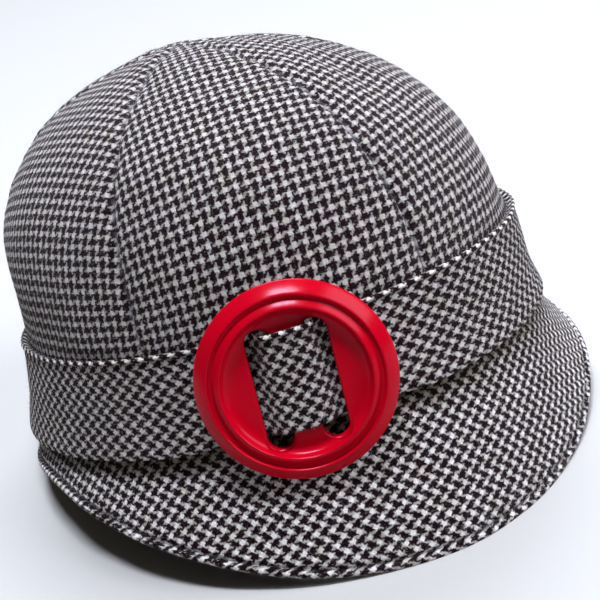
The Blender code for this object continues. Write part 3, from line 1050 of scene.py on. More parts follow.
    def wash_seams(self, graph: Graph, colour: Socket) -> Socket:
        """Blur the check into grey streaks of thread beside a seam.

        Args:
            graph: The material's graph.
            colour: Colour of the check.

        Returns:
            The colour with its seams.
        """
        seam = graph.map_spot(SEAM_MAP)
        streaks = graph.noise(graph.vector_math("MULTIPLY", seam, self.streak_squash), self.streak_grain)
        reach = graph.line(streaks, Line(self.seam_middle * self.seam_reach, self.seam_reach))
        near = graph.math("SUBTRACT", 1.0, graph.math("DIVIDE", graph.part(seam, 0), reach))
        near = graph.clamped(graph.math("MULTIPLY", near, self.seam_edge))
        patches = graph.ease(graph.noise(seam, self.seam_grain), self.seam_patches)
        near = graph.math("MULTIPLY", near, patches)
        thread = graph.tint(self.worn, graph.ease(streaks, self.streak_tone))
        return graph.blend_colour(near, colour, thread)


@dataclass(frozen=True)
class ThreadFinish:
    """Fine wool or sewing thread whose tone, from 0 to 1, is each copy's own."""

    name: str
    pale: Colour
    deep: Colour
    speck: Grain = Grain(0.0004)
    strength: Line = Line(0.75, 0.5)
    roughness: float = 0.85
    haze: float = 0.4
    relief: float = 0.00004
    relief_strength: float = 0.5

    def build(self) -> bpy.types.Material:
        """Colour each copy between the deep and the pale tone.

        Returns:
            The material.
        """
        graph = Graph(self.name)
        tone = graph.result("ShaderNodeAttribute", output="Fac", attribute_name=TONE)
        speck = graph.noise(graph.object_place(), self.speck)
        colour = graph.blend_colour(tone, opaque(self.deep), opaque(self.pale))
        return graph.dress({
            "Base Color": graph.tint(colour, graph.line(speck, self.strength)),
            "Roughness": self.roughness,
            "Sheen Weight": self.haze,
            "Normal": graph.bump(speck, self.relief, self.relief_strength),
        })


@dataclass(frozen=True)
class PlasticFinish:
    """Glossy moulded plastic, with a faint flow in its colour and a hand-polished surface."""

    name: str = "red_plastic"
    colour: Colour = (0.41, 0.0003, 0.0090)
    deep: Colour = (0.33, 0.0002, 0.0070)
    flow: Grain = Grain(0.018, 3.0)
    wear: Grain = Grain(0.0022, 5.0, 0.65)
    wear_roughness: Line = Line(0.12, 0.16)
    wear_relief: float = 0.00002
    wear_strength: float = 0.5
    ripple: Grain = Grain(0.010, 1.0)
    ripple_relief: float = 0.0004
    ripple_strength: float = 0.20
    gloss: float = 0.09
    gloss_tint: Colour = (1.0, 0.78, 1.0)

    def build(self) -> bpy.types.Material:
        """Polish and colour the plastic.

        Returns:
            The material.
        """
        graph = Graph(self.name)
        place = graph.object_place()
        flow = graph.noise(place, self.flow)
        wear = graph.noise(place, self.wear)
        polished = graph.bump(graph.noise(place, self.ripple), self.ripple_relief, self.ripple_strength)
        return graph.dress({
            "Base Color": graph.blend_colour(flow, opaque(self.colour), opaque(self.deep)),
            "Roughness": graph.line(wear, self.wear_roughness),
            "Specular IOR Level": self.gloss,
            "Specular Tint": opaque(self.gloss_tint),
            "Normal": graph.bump(wear, self.wear_relief, self.wear_strength, polished),
        })


@dataclass(frozen=True)
class PaperFinish:
    """Matt pale studio paper."""

    name: str = "pale_paper"
    colour: Colour = (0.358, 0.344, 0.329)
    grain: Grain = Grain(0.003, 3.0)
    strength: Line = Line(0.99, 0.02)
    roughness: float = 0.9
    gloss: float = 0.1

    def build(self) -> bpy.types.Material:
        """Colour the paper, with a faint grain.

        Returns:
            The material.
        """
        graph = Graph(self.name)
        grain = graph.noise(graph.object_place(), self.grain)
        return graph.dress({
            "Base Color": graph.tint(self.colour, graph.line(grain, self.strength)),
            "Roughness": self.roughness,
            "Specular IOR Level": self.gloss,
        })


def by_column(rows: list[list]) -> list[list]:
    """Rows of a table turned into its columns."""
    return [list(column) for column in zip(*rows)]


def cloth_grid(places: Places, maps: Maps) -> bmesh.types.BMesh:
    """Grid of cloth through its corners.

    Args:
        places: Each corner's place, by column and row.
        maps: Each corner's spot on each of the piece's maps, in metres.

    Returns:
        The sheet, open at its four sides.
    """
    columns, rows = len(places) - 1, len(places[0]) - 1
    shape = bmesh.new()
    bmesh.ops.create_grid(shape, x_segments=columns, y_segments=rows, size=1.0)
    spots = {}
    for vertex in shape.verts:
        column = round((vertex.co.x + 1.0) * 0.5 * columns)
        spots[vertex] = (column, round((vertex.co.y + 1.0) * 0.5 * rows))
    for name, painted in maps.items():
        layer = shape.loops.layers.uv.new(name)
        for face in shape.faces:
            for loop in face.loops:
                column, row = spots[loop.vert]
                loop[layer].uv = painted[column][row]
    for vertex, (column, row) in spots.items():
        vertex.co = places[column][row]
    return shape


def closed_cloth(sections: Places, maps: Maps) -> bmesh.types.BMesh:
    """Cloth through closed cross-sections all round the hat.

    Args:
        sections: The cross-sections; the last is the first again.
        maps: Each corner's spot on each of the piece's maps, in metres.

    Returns:
        The closed cloth, its faces outward.
    """
    shape = cloth_grid([section + section[:1] for section in sections], maps)
    bmesh.ops.remove_doubles(shape, verts=shape.verts, dist=WELD)
    bmesh.ops.recalc_face_normals(shape, faces=shape.faces)
    return shape


def on_weave(along: float, up: float, cut: Cut) -> Spot:
    """Spot on the weave of a place on a cut piece of cloth.

    Args:
        along: Metres along the piece.
        up: Metres across it.
        cut: How the piece lies on the weave.

    Returns:
        Metres across the warp and along it.
    """
    turn = cut.value
    return along * math.cos(turn) + up * math.sin(turn), up * math.cos(turn) - along * math.sin(turn)


def mesh_of(shape: bmesh.types.BMesh, name: str) -> bpy.types.Mesh:
    """Mesh of a finished bmesh.

    Args:
        shape: The bmesh; it is freed.
        name: The mesh's name.

    Returns:
        The mesh.
    """
    mesh = bpy.data.meshes.new(name)
    shape.to_mesh(mesh)
    shape.free()
    return mesh


def linked(name: str, data: bpy.types.ID) -> bpy.types.Object:
    """New object in the scene.

    Args:
        name: The object's name.
        data: Its mesh, light or camera.

    Returns:
        The object.
    """
    item = bpy.data.objects.new(name, data)
    bpy.context.scene.collection.objects.link(item)
    return item


def add_piece(
    mesh: bpy.types.Mesh,
    name: str,
    material: bpy.types.Material,
    slot: str,
    stands_for: Sequence[str] = (),
) -> bpy.types.Object:
    """Turn a finished mesh into a piece that rides with the hat.

    Args:
        mesh: The piece's mesh, in the row frame.
        name: The piece's name.
        material: Its finish.
        slot: Name of the record's material slot for its finish; it is only logged.
        stands_for: Solids that it replaces.

    Returns:
        The piece's object.
    """
    mesh.shade_smooth()
    mesh.materials.append(material)
    piece = linked(name, mesh)
    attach(piece, BODY)
    if stands_for:
        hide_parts(*stands_for)
    LOG.info("%s: %d faces, slot %s", name, len(mesh.polygons), slot)
    return piece


def joined_copies(
    template: bmesh.types.BMesh, places: np.ndarray, tones: np.ndarray, name: str,
) -> bpy.types.Mesh:
    """Join many placed copies of a small shape in one mesh.

    Args:
        template: The small shape; it is freed.
        places: A 4 x 4 matrix for each copy.
        tones: A tone from 0 to 1 for each copy.
        name: The mesh's name.

    Returns:
        The mesh, with each copy's tone in an attribute of its own.
    """
    template.verts.index_update()
    corners = np.array([(*vertex.co, 1.0) for vertex in template.verts])
    faces = [[vertex.index for vertex in face.verts] for face in template.faces]
    template.free()
    placed = np.einsum("cij,vj->cvi", places, corners)[:, :, :3].reshape(-1, 3)
    count = len(corners)
    joined = [[index + copy * count for index in face] for copy in range(len(places)) for face in faces]
    mesh = bpy.data.meshes.new(name)
    mesh.from_pydata(placed.tolist(), [], joined)
    tone = mesh.attributes.new(TONE, "FLOAT", "POINT")
    tone.data.foreach_set("value", np.repeat(tones, count).astype(np.float32))
    return mesh


def placed_along(origin: Vector, ahead: Vector, outward: Vector, sizes: Vector) -> np.ndarray:
    """Matrix that puts a shape's +Z ahead and its +X outward at a place.

    Args:
        origin: Where the shape's origin goes.
        ahead: Direction of its +Z.
        outward: Rough direction of its +X.
        sizes: Its sizes along its own X, Y and Z.

    Returns:
        The 4 x 4 matrix.
    """
    ahead = ahead.normalized()
    aside = ahead.cross(outward).normalized()
    across = aside.cross(ahead)
    turn = Matrix((across * sizes.x, aside * sizes.y, ahead * sizes.z)).transposed().to_4x4()
    turn.translation = origin
    return np.array(turn)


@dataclass(frozen=True)
class Humps:
    """Soft, uneven cloth: the size and the largest height of its humps, in metres.

    The seed makes one piece's humps differ from another's.
    """

    size: float
    depth: float
    seed: float

    def height(self, point: Vector) -> float:
        """Height at a place, up or down."""
        start = Vector((self.seed, 0.7 * self.seed, 1.3 * self.seed))
        return self.depth * noise.noise(point / self.size + start)


@dataclass
class Crown:
    """Six cloth gores that meet at the crown's point and tuck in where they are sewn.

    Each gore is cut along the weave.  Its puckers stand up most beside the seams and fade over a reach,
    past which a share of them is left.
    """

    form: CrownForm
    axis: Matrix
    finish: bpy.types.Material
    columns: int = 64
    dome_rows: int = 104
    wall_rows: int = 6
    cloth: float = 0.0014
    tuck_depth: float = 0.0011
    tuck_width: float = 0.0019
    seam_gap: float = 0.00004
    point_hole: float = 0.00015
    humps: Humps = Humps(0.026, 0.00105, 3.1)
    puckers: Humps = Humps(0.0055, 0.00056, 9.7)
    pucker_reach: float = 0.008
    pucker_share: float = 0.25
    smooth_over_band: float = 0.004
    cut: Cut = Cut.STRAIGHT
    weave_step: float = 0.0123
    shortest_arc: float = 0.001
    slot: str = "crown_check_wool"
    pieces: list[bpy.types.Object] = field(default_factory=list)

    def build(self) -> None:
        """Make the six gores."""
        for index in range(self.form.gores):
            self.pieces.append(self.gore(index))

    def column_share(self, column: int) -> float:
        """Place across a gore from -1 to 1, closer together beside the seams."""
        return math.sin(math.pi * (column / self.columns - 0.5))

    def gore_point(self, middle: float, column: int, row: int) -> Vector:
        """Point of a gore about the crown's axis.

        Args:
            middle: Direction of the gore's middle.
            column: Column from its right seam to its left.
            row: Row from its foot to the crown's point.

        Returns:
            The point, with its seams tucked in and its cloth a little uneven.
        """
        form = self.form
        half_angle = math.pi / form.gores
        seam_foot = form.waist(middle + half_angle)
        share_across = self.column_share(column)
        if row < self.wall_rows:
            trim = self.seam_gap / seam_foot.length
            angle = middle + (half_angle - trim) * share_across
            return form.wall_point(angle, form.band_width * row / self.wall_rows)
        length = (seam_foot - form.point_plan()).length
        last = 1.0 - self.point_hole / length
        share = last * (1.0 - math.cos(0.5 * math.pi * (row - self.wall_rows) / self.dome_rows))
        trim = self.seam_gap / (length * (1.0 - share))
        angle = middle + (half_angle - trim) * share_across
        point = form.dome_point(angle, share)
        outward = (point - form.middle()).normalized()
        distance = form.seam_distance(angle, share)
        above_band = smooth_step((point.z - form.band_width) / self.smooth_over_band)
        tuck = max(1.0 - distance / self.tuck_width, 0.0)
        dip = self.tuck_depth * (1.0 - math.sqrt(max(1.0 - tuck ** 2, 0.0)))
        humps = self.humps.height(point)
        beside_seam = 1.0 - smooth_step(distance / self.pucker_reach)
        puckers = self.puckers.height(point) * (self.pucker_share + beside_seam)
        return point + ((humps + puckers) * above_band - dip) * outward

    def weave_spots(self, middle: float, points: list[list[Vector]]) -> list[list[Spot]]:
        """Spots of a gore's corners on its flat cloth, counted across and down its middle line.

        Args:
            middle: Direction of the gore's middle.
            points: The gore's points, a list for each row.

        Returns:
            A list of spots for each row.
        """
        form = self.form
        centre = self.columns // 2
        dome = points[self.wall_rows:]
        columns = [lengths_along([row[column] for row in dome]) for column in range(self.columns + 1)]
        radius = columns[centre][-1] / (0.5 * math.pi)
        bearing = (form.waist(middle) - form.point_plan()).normalized()
        half_angle = math.pi / form.gores
        turns = []
        for column in range(self.columns + 1):
            foot = form.waist(middle + half_angle * self.column_share(column))
            turn = math.acos(min(bearing.dot((foot - form.point_plan()).normalized()), 1.0))
            turns.append(math.copysign(turn, self.column_share(column)))
        spots = []
        for row, line in enumerate(points):
            arcs = lengths_along(line)
            arcs = [arc - arcs[centre] for arc in arcs]
            if row < self.wall_rows:
                down = form.band_width * (1.0 - row / self.wall_rows)
                spots.append([(arc, 0.5 * math.pi * radius + down) for arc in arcs])
                continue
            line_spots = []
            for column in range(self.columns + 1):
                lengths = columns[column]
                theta = 0.5 * math.pi * (1.0 - lengths[row - self.wall_rows] / lengths[-1])
                edge_arc = radius * math.sin(theta) * turns[-1]
                fit = arcs[-1] / edge_arc if edge_arc > self.shortest_arc else 1.0
                across = radius * math.asin(math.sin(theta) * math.sin(turns[column])) * fit
                down = radius * math.atan2(math.sin(theta) * math.cos(turns[column]), math.cos(theta))
                line_spots.append((across, down))
            spots.append(line_spots)
        return spots

    def gore(self, index: int) -> bpy.types.Object:
        """One gore: a sheet laid on the dome and given its cloth by Solidify.

        Args:
            index: The gore's number, from 0 at the front and towards the wearer's left.

        Returns:
            The gore.
        """
        middle = math.pi / self.form.gores * (2 * index + 1)
        rows = self.wall_rows + self.dome_rows
        points = [
            [self.gore_point(middle, column, row) for column in range(self.columns + 1)]
            for row in range(rows + 1)
        ]
        spots = self.weave_spots(middle, points)
        moved = self.weave_step * (index + 1)
        places, weave, seams = [], [], []
        for line, line_spots in zip(points, spots):
            arcs = lengths_along(line)
            places.append([self.axis @ self.form.settle(point) for point in line])
            weave.append([on_weave(across + moved, down + moved, self.cut) for across, down in line_spots])
            beside = [min(arc, arcs[-1] - arc) for arc in arcs]
            seams.append([(arc, down + moved) for arc, (_, down) in zip(beside, line_spots)])
        maps = {CLOTH_MAP: by_column(weave), SEAM_MAP: by_column(seams)}
        shape = cloth_grid(by_column(places), maps)
        bmesh.ops.recalc_face_normals(shape, faces=shape.faces)
        outward = self.axis.to_3x3() @ Vector((math.sin(middle), -math.cos(middle), 0.0))
        lowest = min(shape.faces, key=lambda face: face.calc_center_median().z)
        if lowest.normal.dot(outward) < 0.0:
            bmesh.ops.reverse_faces(shape, faces=shape.faces)
        name = f"crown_cloth_{index + 1}"
        stands_for = [f"crown_panel_{index + 1}"]
        piece = add_piece(mesh_of(shape, name), name, self.finish, self.slot, stands_for)
        thickness = piece.modifiers.new("cloth", "SOLIDIFY")
        thickness.thickness = self.cloth
        thickness.offset = -1.0
        return piece


@dataclass
class Band:
    """Bias-cut band with a soft rolled fold, passing through the buckle.

    Away from the buckle its foot flares, and inside the buckle it is gathered.  Both fade over a distance
    from the buckle's middle, and so does the stretch of its weave.  Rows of the fold are as in its form.
    """

    form: BandForm
    buckle: BuckleForm
    axis: Matrix
    finish: bpy.types.Material
    around: int = 330
    zone: int = 110
    zone_share: float = 1.35
    knot_steps: int = 5
    middle_knot: int = 3
    humps: Humps = Humps(0.020, 0.00060, 21.3)
    hump_power: float = 0.5
    flare: float = 0.0014
    flare_share: float = 0.36
    flare_from: float = 0.0235
    flare_fade: float = 0.0140
    flare_drop: float = 0.0006
    drop_share: float = 0.1
    raised: float = 0.0008
    gather_foot: float = 0.0010
    gather_fold: float = -0.0004
    gather_from: float = 0.0115
    gather_fade: float = 0.0120
    stretch_along: float = 1.16
    stretch_in_buckle: float = 0.96
    stretch_from: float = 0.010
    stretch_fade: float = 0.012
    stretch_up: float = 0.93
    fold: tuple[Row, ...] = ((0.945, 0.35), (0.970, 0.85), (0.990, 0.70), (1.002, 0.05))
    behind_fold: tuple[Row, ...] = ((0.984, 0.55), (0.955, 0.10))
    behind_knots: int = 4
    # Painted highlight along the fold's crest, and painted shade under the foot and over the inner face.
    painted_fold_highlight: float = 0.75
    fold_reach: float = 0.0012
    foot_reach: float = 0.0011
    painted_shade_strength: float = 0.70
    cut: Cut = Cut.BIAS
    slot: str = "band_check_wool"
    piece: bpy.types.Object | None = None

    def angles(self) -> list[float]:
        """Directions of the band's sections.

        Returns:
            Directions even all round, and closer together through the buckle.
        """
        crown = self.form.crown
        half_width, half_length, _ = crown.ring(0.5 * crown.band_width)
        from_axis = ellipse_point(half_width, half_length, self.buckle.azimuth).length
        reach = 0.5 * self.buckle.bar_width + self.buckle.slot_width
        zone = self.zone_share * reach / from_axis
        start = self.buckle.azimuth - zone
        fine = [start + 2.0 * zone * step / self.zone for step in range(self.zone + 1)]
        span = 2.0 * math.pi - 2.0 * zone
        return fine + [fine[-1] + span * step / self.around for step in range(1, self.around + 1)]

    def outside(self) -> list[Row]:
        """The band's outer face, with a tighter roll along its fold.

        Returns:
            Heights and depths in metres, from its foot to over its fold.
        """
        rows = self.form.outside()[:len(self.form.outer_rows)]
        for height, proud in self.fold:
            depth = self.form.cloth + proud * self.form.fold_proud
            rows.append((height * self.form.crown.band_width, depth))
        return rows

    def inside(self) -> list[Row]:
        """The band's inner face, close behind the rolled fold.

        Returns:
            Heights and depths in metres, from its fold to its foot.
        """
        width = self.form.crown.band_width
        rows = [(share * width, depth * self.form.cloth) for share, depth in self.behind_fold]
        return rows + self.form.inside()[len(self.behind_fold):]

    def section(self, angle: float, rest: tuple[float, float]) -> list[Vector]:
        """Closed cross-section of the band in one direction.

        Args:
            angle: Direction from the crown's axis.
            rest: The buckle's lean and seat.

        Returns:
            The section's points about the crown's axis, from the foot up the outer face and down the inner.
        """
        crown = self.form.crown
        from_bar = self.buckle.distance_aside(angle)
        free = smooth_step((from_bar - self.flare_from) / self.flare_fade)
        gathered = 1.0 - smooth_step((from_bar - self.gather_from) / self.gather_fade)
        outside = self.outside()
        inside = self.inside()
        knots = []
        for index, (height, depth) in enumerate(outside + inside):
            share = height / crown.band_width
            if index < len(outside):
                lower = 1.0 - smooth_step(share / self.flare_share)
                depth += self.flare * free * lower
                height -= self.flare_drop * free * (1.0 - smooth_step(share / self.drop_share))
            height += self.raised + gathered * (self.gather_foot * (1.0 - share) - self.gather_fold * share)
            half_width, half_length, _ = crown.ring(height)
            lift = self.form.gap + depth + self.buckle.band_rise(angle, height, rest)
            point = ellipse_point(half_width, half_length, angle)
            point += lift * ellipse_normal(half_width, half_length, angle)
            knots.append(Vector((point.x, point.y, height)))
        section = smooth_path(knots, self.knot_steps, closed=True)
        outer = len(outside) * self.knot_steps
        half_width, half_length, _ = crown.ring(0.5 * crown.band_width)
        outward = ellipse_normal(half_width, half_length, angle)
        for index, point in enumerate(section[:outer]):
            ease = math.sin(math.pi * min(index / outer, 1.0)) ** self.hump_power
            point += self.humps.height(point) * ease * outward
        return section

    def weave_spots(self, sections: list[list[Vector]]) -> list[list[Spot]]:
        """Metres along the band and up it for each section's points; the last repeats the first point.

        Args:
            sections: The band's closed cross-sections.

        Returns:
            A list of spots for each section, counted up from the middle of the outer face.
        """
        middle = self.middle_knot * self.knot_steps
        along, spots = 0.0, []
        for index, (angle, section) in enumerate(zip(self.angles(), sections)):
            if index:
                from_bar = self.buckle.distance_aside(angle)
                free = smooth_step((from_bar - self.stretch_from) / self.stretch_fade)
                stretch = self.stretch_in_buckle + (self.stretch_along - self.stretch_in_buckle) * free
                along += (section[middle] - sections[index - 1][middle]).length / stretch
            ups = lengths_along(section + [section[0]])
            spots.append([(along, (up - ups[middle]) / self.stretch_up) for up in ups])
        return spots

    def shade_spot(self, line: list[Spot], row: int, crest: int) -> Spot:
        """Painted highlight along the fold, where it catches the light, and painted shade under the band's
        foot and on its inner face.

        Args:
            line: Spots of a section's points.
            row: The point's row.
            crest: The fold's row.

        Returns:
            What the cloth's colour is multiplied by, and its warmth.
        """
        from_fold = abs(line[row][1] - line[crest][1])
        from_foot = min(abs(line[row][1] - line[0][1]), abs(line[row][1] - line[-1][1]))
        # Painted highlight near the fold's crest, painted shade near the foot.
        paler = self.painted_fold_highlight * (1.0 - smooth_step(from_fold / self.fold_reach))
        deeper = self.painted_shade_strength * (1.0 - smooth_step(from_foot / self.foot_reach))
        # The whole inner face gets the full painted shade.
        if row > crest + self.behind_knots * self.knot_steps:
            deeper = self.painted_shade_strength
        return (1.0 + paler) * (1.0 - deeper), 0.0

    def build(self) -> None:
        """Make the band."""
        rest = self.buckle.rest()
        sections = [self.section(angle, rest) for angle in self.angles()]
        sections[-1] = sections[0]
        spots = self.weave_spots(sections)
        crest = (len(self.outside()) - 2) * self.knot_steps
        settle = self.form.crown.settle
        placed = [[self.axis @ settle(point) for point in section] for section in sections]
        maps = {
            CLOTH_MAP: [[on_weave(*spot, self.cut) for spot in line] for line in spots],
            SHADE_MAP: [[self.shade_spot(line, row, crest) for row in range(len(line))] for line in spots],
        }
        mesh = mesh_of(closed_cloth(placed, maps), "band_cloth")
        self.piece = add_piece(mesh, "band_cloth", self.finish, self.slot, ["band"])


@dataclass
class Brim:
    """Double bias-cut brim with a turned edge, held by a line of stitches in its crease.

    Level-at is the direction in which the flat cloth's length runs level.  The upper and lower measures are
    shares of the face's rows, between which the cloth's fall and flare are measured to lay it out flat.
    """

    form: BrimForm
    shift: Vector
    finish: bpy.types.Material
    around: int = 420
    face_rows: int = 44
    crease_inset: float = 0.0024
    crease_depth: float = 0.00085
    crease_width: float = 0.0014
    roll: float = 0.00055
    roll_power: float = 0.8
    edge_steps: int = 10
    edge_bulge: float = 0.55
    humps: Humps = Humps(0.024, 0.00070, 5.9)
    smooth_share: float = 0.15
    look_aside: float = 0.01
    stretch_along: float = 1.05
    level_at: float = math.radians(-24.0)
    upper_measure: float = 0.25
    lower_measure: float = 0.80
    turn_offset: float = 0.0013
    turn_drop: float = 0.4
    # Painted shade in the crease, and warm painted shade on the brim under the band's foot.
    crease_reach: float = 0.00055
    painted_crease_shade: float = 0.84
    tuck_reach: float = 0.0024
    tuck_fade: float = 0.0042
    painted_under_band_shade: float = 0.62
    cut: Cut = Cut.BIAS
    slot: str = "brim_check_wool"
    piece: bpy.types.Object | None = None

    def outer_face(self, angle: float) -> list[Vector]:
        """Points down the brim's outer face, with the crease and the rolled edge.

        Args:
            angle: Direction from the crown's axis.

        Returns:
            The points, before the centring shift.
        """
        form = self.form
        fall = (form.edge(angle) - form.foot(angle)).length
        outward = self.outward(angle)
        points = []
        for row in range(self.face_rows + 1):
            share = math.sin(0.5 * math.pi * row / self.face_rows)
            point = form.face(angle, share)
            from_edge = (1.0 - share) * fall
            crease = math.exp(-((from_edge - self.crease_inset) / (0.5 * self.crease_width)) ** 2)
            roll = math.sin(math.pi * min(from_edge / self.crease_inset, 1.0)) ** self.roll_power
            humps = self.humps.height(point) * smooth_step(share / self.smooth_share)
            points.append(point + (humps + self.roll * roll - self.crease_depth * crease) * outward)
        return points

    def outward(self, angle: float) -> Vector:
        """Direction square to the brim's face, away from the head.

        Args:
            angle: Direction from the crown's axis.

        Returns:
            The unit direction.
        """
        form = self.form
        fall = (form.edge(angle) - form.foot(angle)).normalized()
        ahead = form.face(angle + self.look_aside, 0.5) - form.face(angle - self.look_aside, 0.5)
        return ahead.cross(fall).normalized() * -1.0

    def crease_point(self, angle: float) -> tuple[Vector, Vector]:
        """Lowest point of the crease.

        Args:
            angle: Direction from the crown's axis.

        Returns:
            The point as the hat stands, and the direction out of the cloth there.
        """
        form = self.form
        fall = (form.edge(angle) - form.foot(angle)).length
        outward = self.outward(angle)
        point = form.face(angle, 1.0 - self.crease_inset / fall)
        humps = self.humps.height(point)
        return point + (humps - self.crease_depth) * outward + self.shift, outward

    def section(self, angle: float) -> list[Vector]:
        """Closed cross-section of the brim in one direction.

        Args:
            angle: Direction from the crown's axis.

        Returns:
            The section's points as the hat stands, down the outer face, round the edge and up the inner.
        """
        form = self.form
        outer = self.outer_face(angle)
        outward = self.outward(angle)
        inner = [point - form.cloth * outward for point in outer]
        last, first = outer[-1], inner[-1]
        middle = 0.5 * (last + first)
        fall = (outer[-1] - outer[-2]).normalized()
        half = 0.5 * (last - first)
        turned = []
        for step in range(1, self.edge_steps):
            turn = math.pi * step / self.edge_steps
            bulge = fall * half.length * self.edge_bulge * math.sin(turn)
            turned.append(middle + half * math.cos(turn) + bulge)
        section = outer + turned + list(reversed(inner))
        for point in section:
            point += self.shift
            point.z = max(point.z, 0.0)
        return section

    def flatten(self, angles: list[float], sections: list[list[Vector]]) -> list[list[Vector]]:
        """Lay the brim out flat, as the crescent that it was cut from.

        Args:
            angles: Directions of the sections.
            sections: Closed cross-sections.

        Returns:
            Flat places of each section's points; the last repeats the first point.
        """
        upper = int(self.upper_measure * self.face_rows)
        lower = int(self.lower_measure * self.face_rows)
        fall = [(section[lower] - section[upper]).length for section in sections]
        turns, steps = [0.0], []
        for index, (start, end) in enumerate(zip(sections, sections[1:])):
            short = (end[upper] - start[upper]).length
            wide = (end[lower] - start[lower]).length
            turns.append(turns[-1] + (wide - short) / (0.5 * (fall[index] + fall[index + 1])))
            steps.append(short)
        level = min(range(len(angles)), key=lambda index: abs(angles[index] - self.level_at))
        turns = [turn - turns[level] for turn in turns]
        flat = []
        place = Vector((0.0, 0.0))
        for index, section in enumerate(sections):
            if index:
                turn = 0.5 * (turns[index - 1] + turns[index])
                place = place + steps[index - 1] * Vector((math.cos(turn), math.sin(turn)))
            down = Vector((math.sin(turns[index]), -math.cos(turns[index])))
            lengths = lengths_along(section + [section[0]])
            flat.append([place + (length - lengths[upper]) * down for length in lengths])
        return [[Vector((spot.x / self.stretch_along, spot.y)) for spot in line] for line in flat]

    def crease_row(self) -> float:
        """Row of the outer face that lies in the crease, at the front of the brim."""
        fall = (self.form.edge(0.0) - self.form.foot(0.0)).length
        return self.face_rows * math.asin(1.0 - self.crease_inset / fall) / (0.5 * math.pi)

    def shade_spot(self, section: list[Vector], row: int) -> Spot:
        """Painted shade in the crease, and warmer painted shade under the band's foot.

        Args:
            section: Closed cross-section.
            row: The point's row.

        Returns:
            What the cloth's colour is multiplied by, and its warmth.
        """
        if row > self.face_rows:
            return 1.0, 0.0
        # Painted shade: darker in the crease, and darker and warmer close under the band's foot.
        from_crease = abs((section[row] - section[self.face_rows]).length - self.crease_inset)
        crease = self.painted_crease_shade * (1.0 - smooth_step(from_crease / self.crease_reach))
        from_foot = (section[row] - section[0]).length
        tucked = 1.0 - smooth_step((from_foot - self.tuck_reach) / self.tuck_fade)
        return (1.0 - crease) * (1.0 - self.painted_under_band_shade * tucked), tucked

    def turned_spot(self, flat: Vector, row: int) -> Spot:
        """Spot on the weave; past the crease the cloth is turned, and its check no longer meets.

        Args:
            flat: Place on the brim laid out flat.
            row: The point's row.

        Returns:
            Metres across the warp and along it.
        """
        along, up = on_weave(*flat, self.cut)
        past = smooth_step(row - self.crease_row())
        return along + self.turn_offset * past, up - self.turn_drop * self.turn_offset * past

    def build(self) -> None:
        """Make the brim."""
        angles = [2.0 * math.pi * step / self.around - math.pi for step in range(self.around + 1)]
        sections = [self.section(angle) for angle in angles]
        sections[-1] = sections[0]
        flat = self.flatten(angles, sections)
        rows = range(len(flat[0]))
        maps = {
            CLOTH_MAP: [[self.turned_spot(line[row], row) for row in rows] for line in flat],
            SHADE_MAP: [[self.shade_spot(section, row) for row in rows] for section in sections],
        }
        mesh = mesh_of(closed_cloth(sections, maps), "brim_cloth")
        self.piece = add_piece(mesh, "brim_cloth", self.finish, self.slot, ["brim"])


@dataclass
class CreaseStitches:
    """Sewing stitches that lie in the crease inside the brim's rolled edge."""

    brim: Brim
    finish: bpy.types.Material
    pitch: float = 0.0030
    length: float = 0.0022
    radius: float = 0.00019
    proud: float = 0.00002
    length_shares: tuple[float, float] = (0.85, 1.05)
    tones: tuple[float, float] = (0.0, 0.25)
    seed: int = 7

    def build(self) -> None:
        """Lay the stitches along the crease, each a little unlike the next."""
        steps = 3 * self.brim.around
        path = [self.brim.crease_point(2.0 * math.pi * step / steps) for step in range(steps + 1)]
        lengths = lengths_along([point for point, _ in path])
        chance = random.Random(self.seed)
        places, tones = [], []
        index = 0
        for stitch in range(int(lengths[-1] / self.pitch)):
            while lengths[index + 1] < stitch * self.pitch:
                index += 1
            point, outward = path[index]
            ahead = path[(index + 2) % steps][0] - path[index - 1 if index else steps - 1][0]
            half_length = 0.5 * self.length * chance.uniform(*self.length_shares)
            sizes = Vector((self.radius, self.radius, half_length))
            places.append(placed_along(point + self.proud * outward, ahead, outward, sizes))
            tones.append(chance.uniform(*self.tones))
        shape = bmesh.new()
        bmesh.ops.create_uvsphere(shape, u_segments=8, v_segments=6, radius=1.0)
        mesh = joined_copies(shape, np.array(places), np.array(tones), "crease_stitches")
        add_piece(mesh, "crease_stitches", self.finish, self.brim.slot)


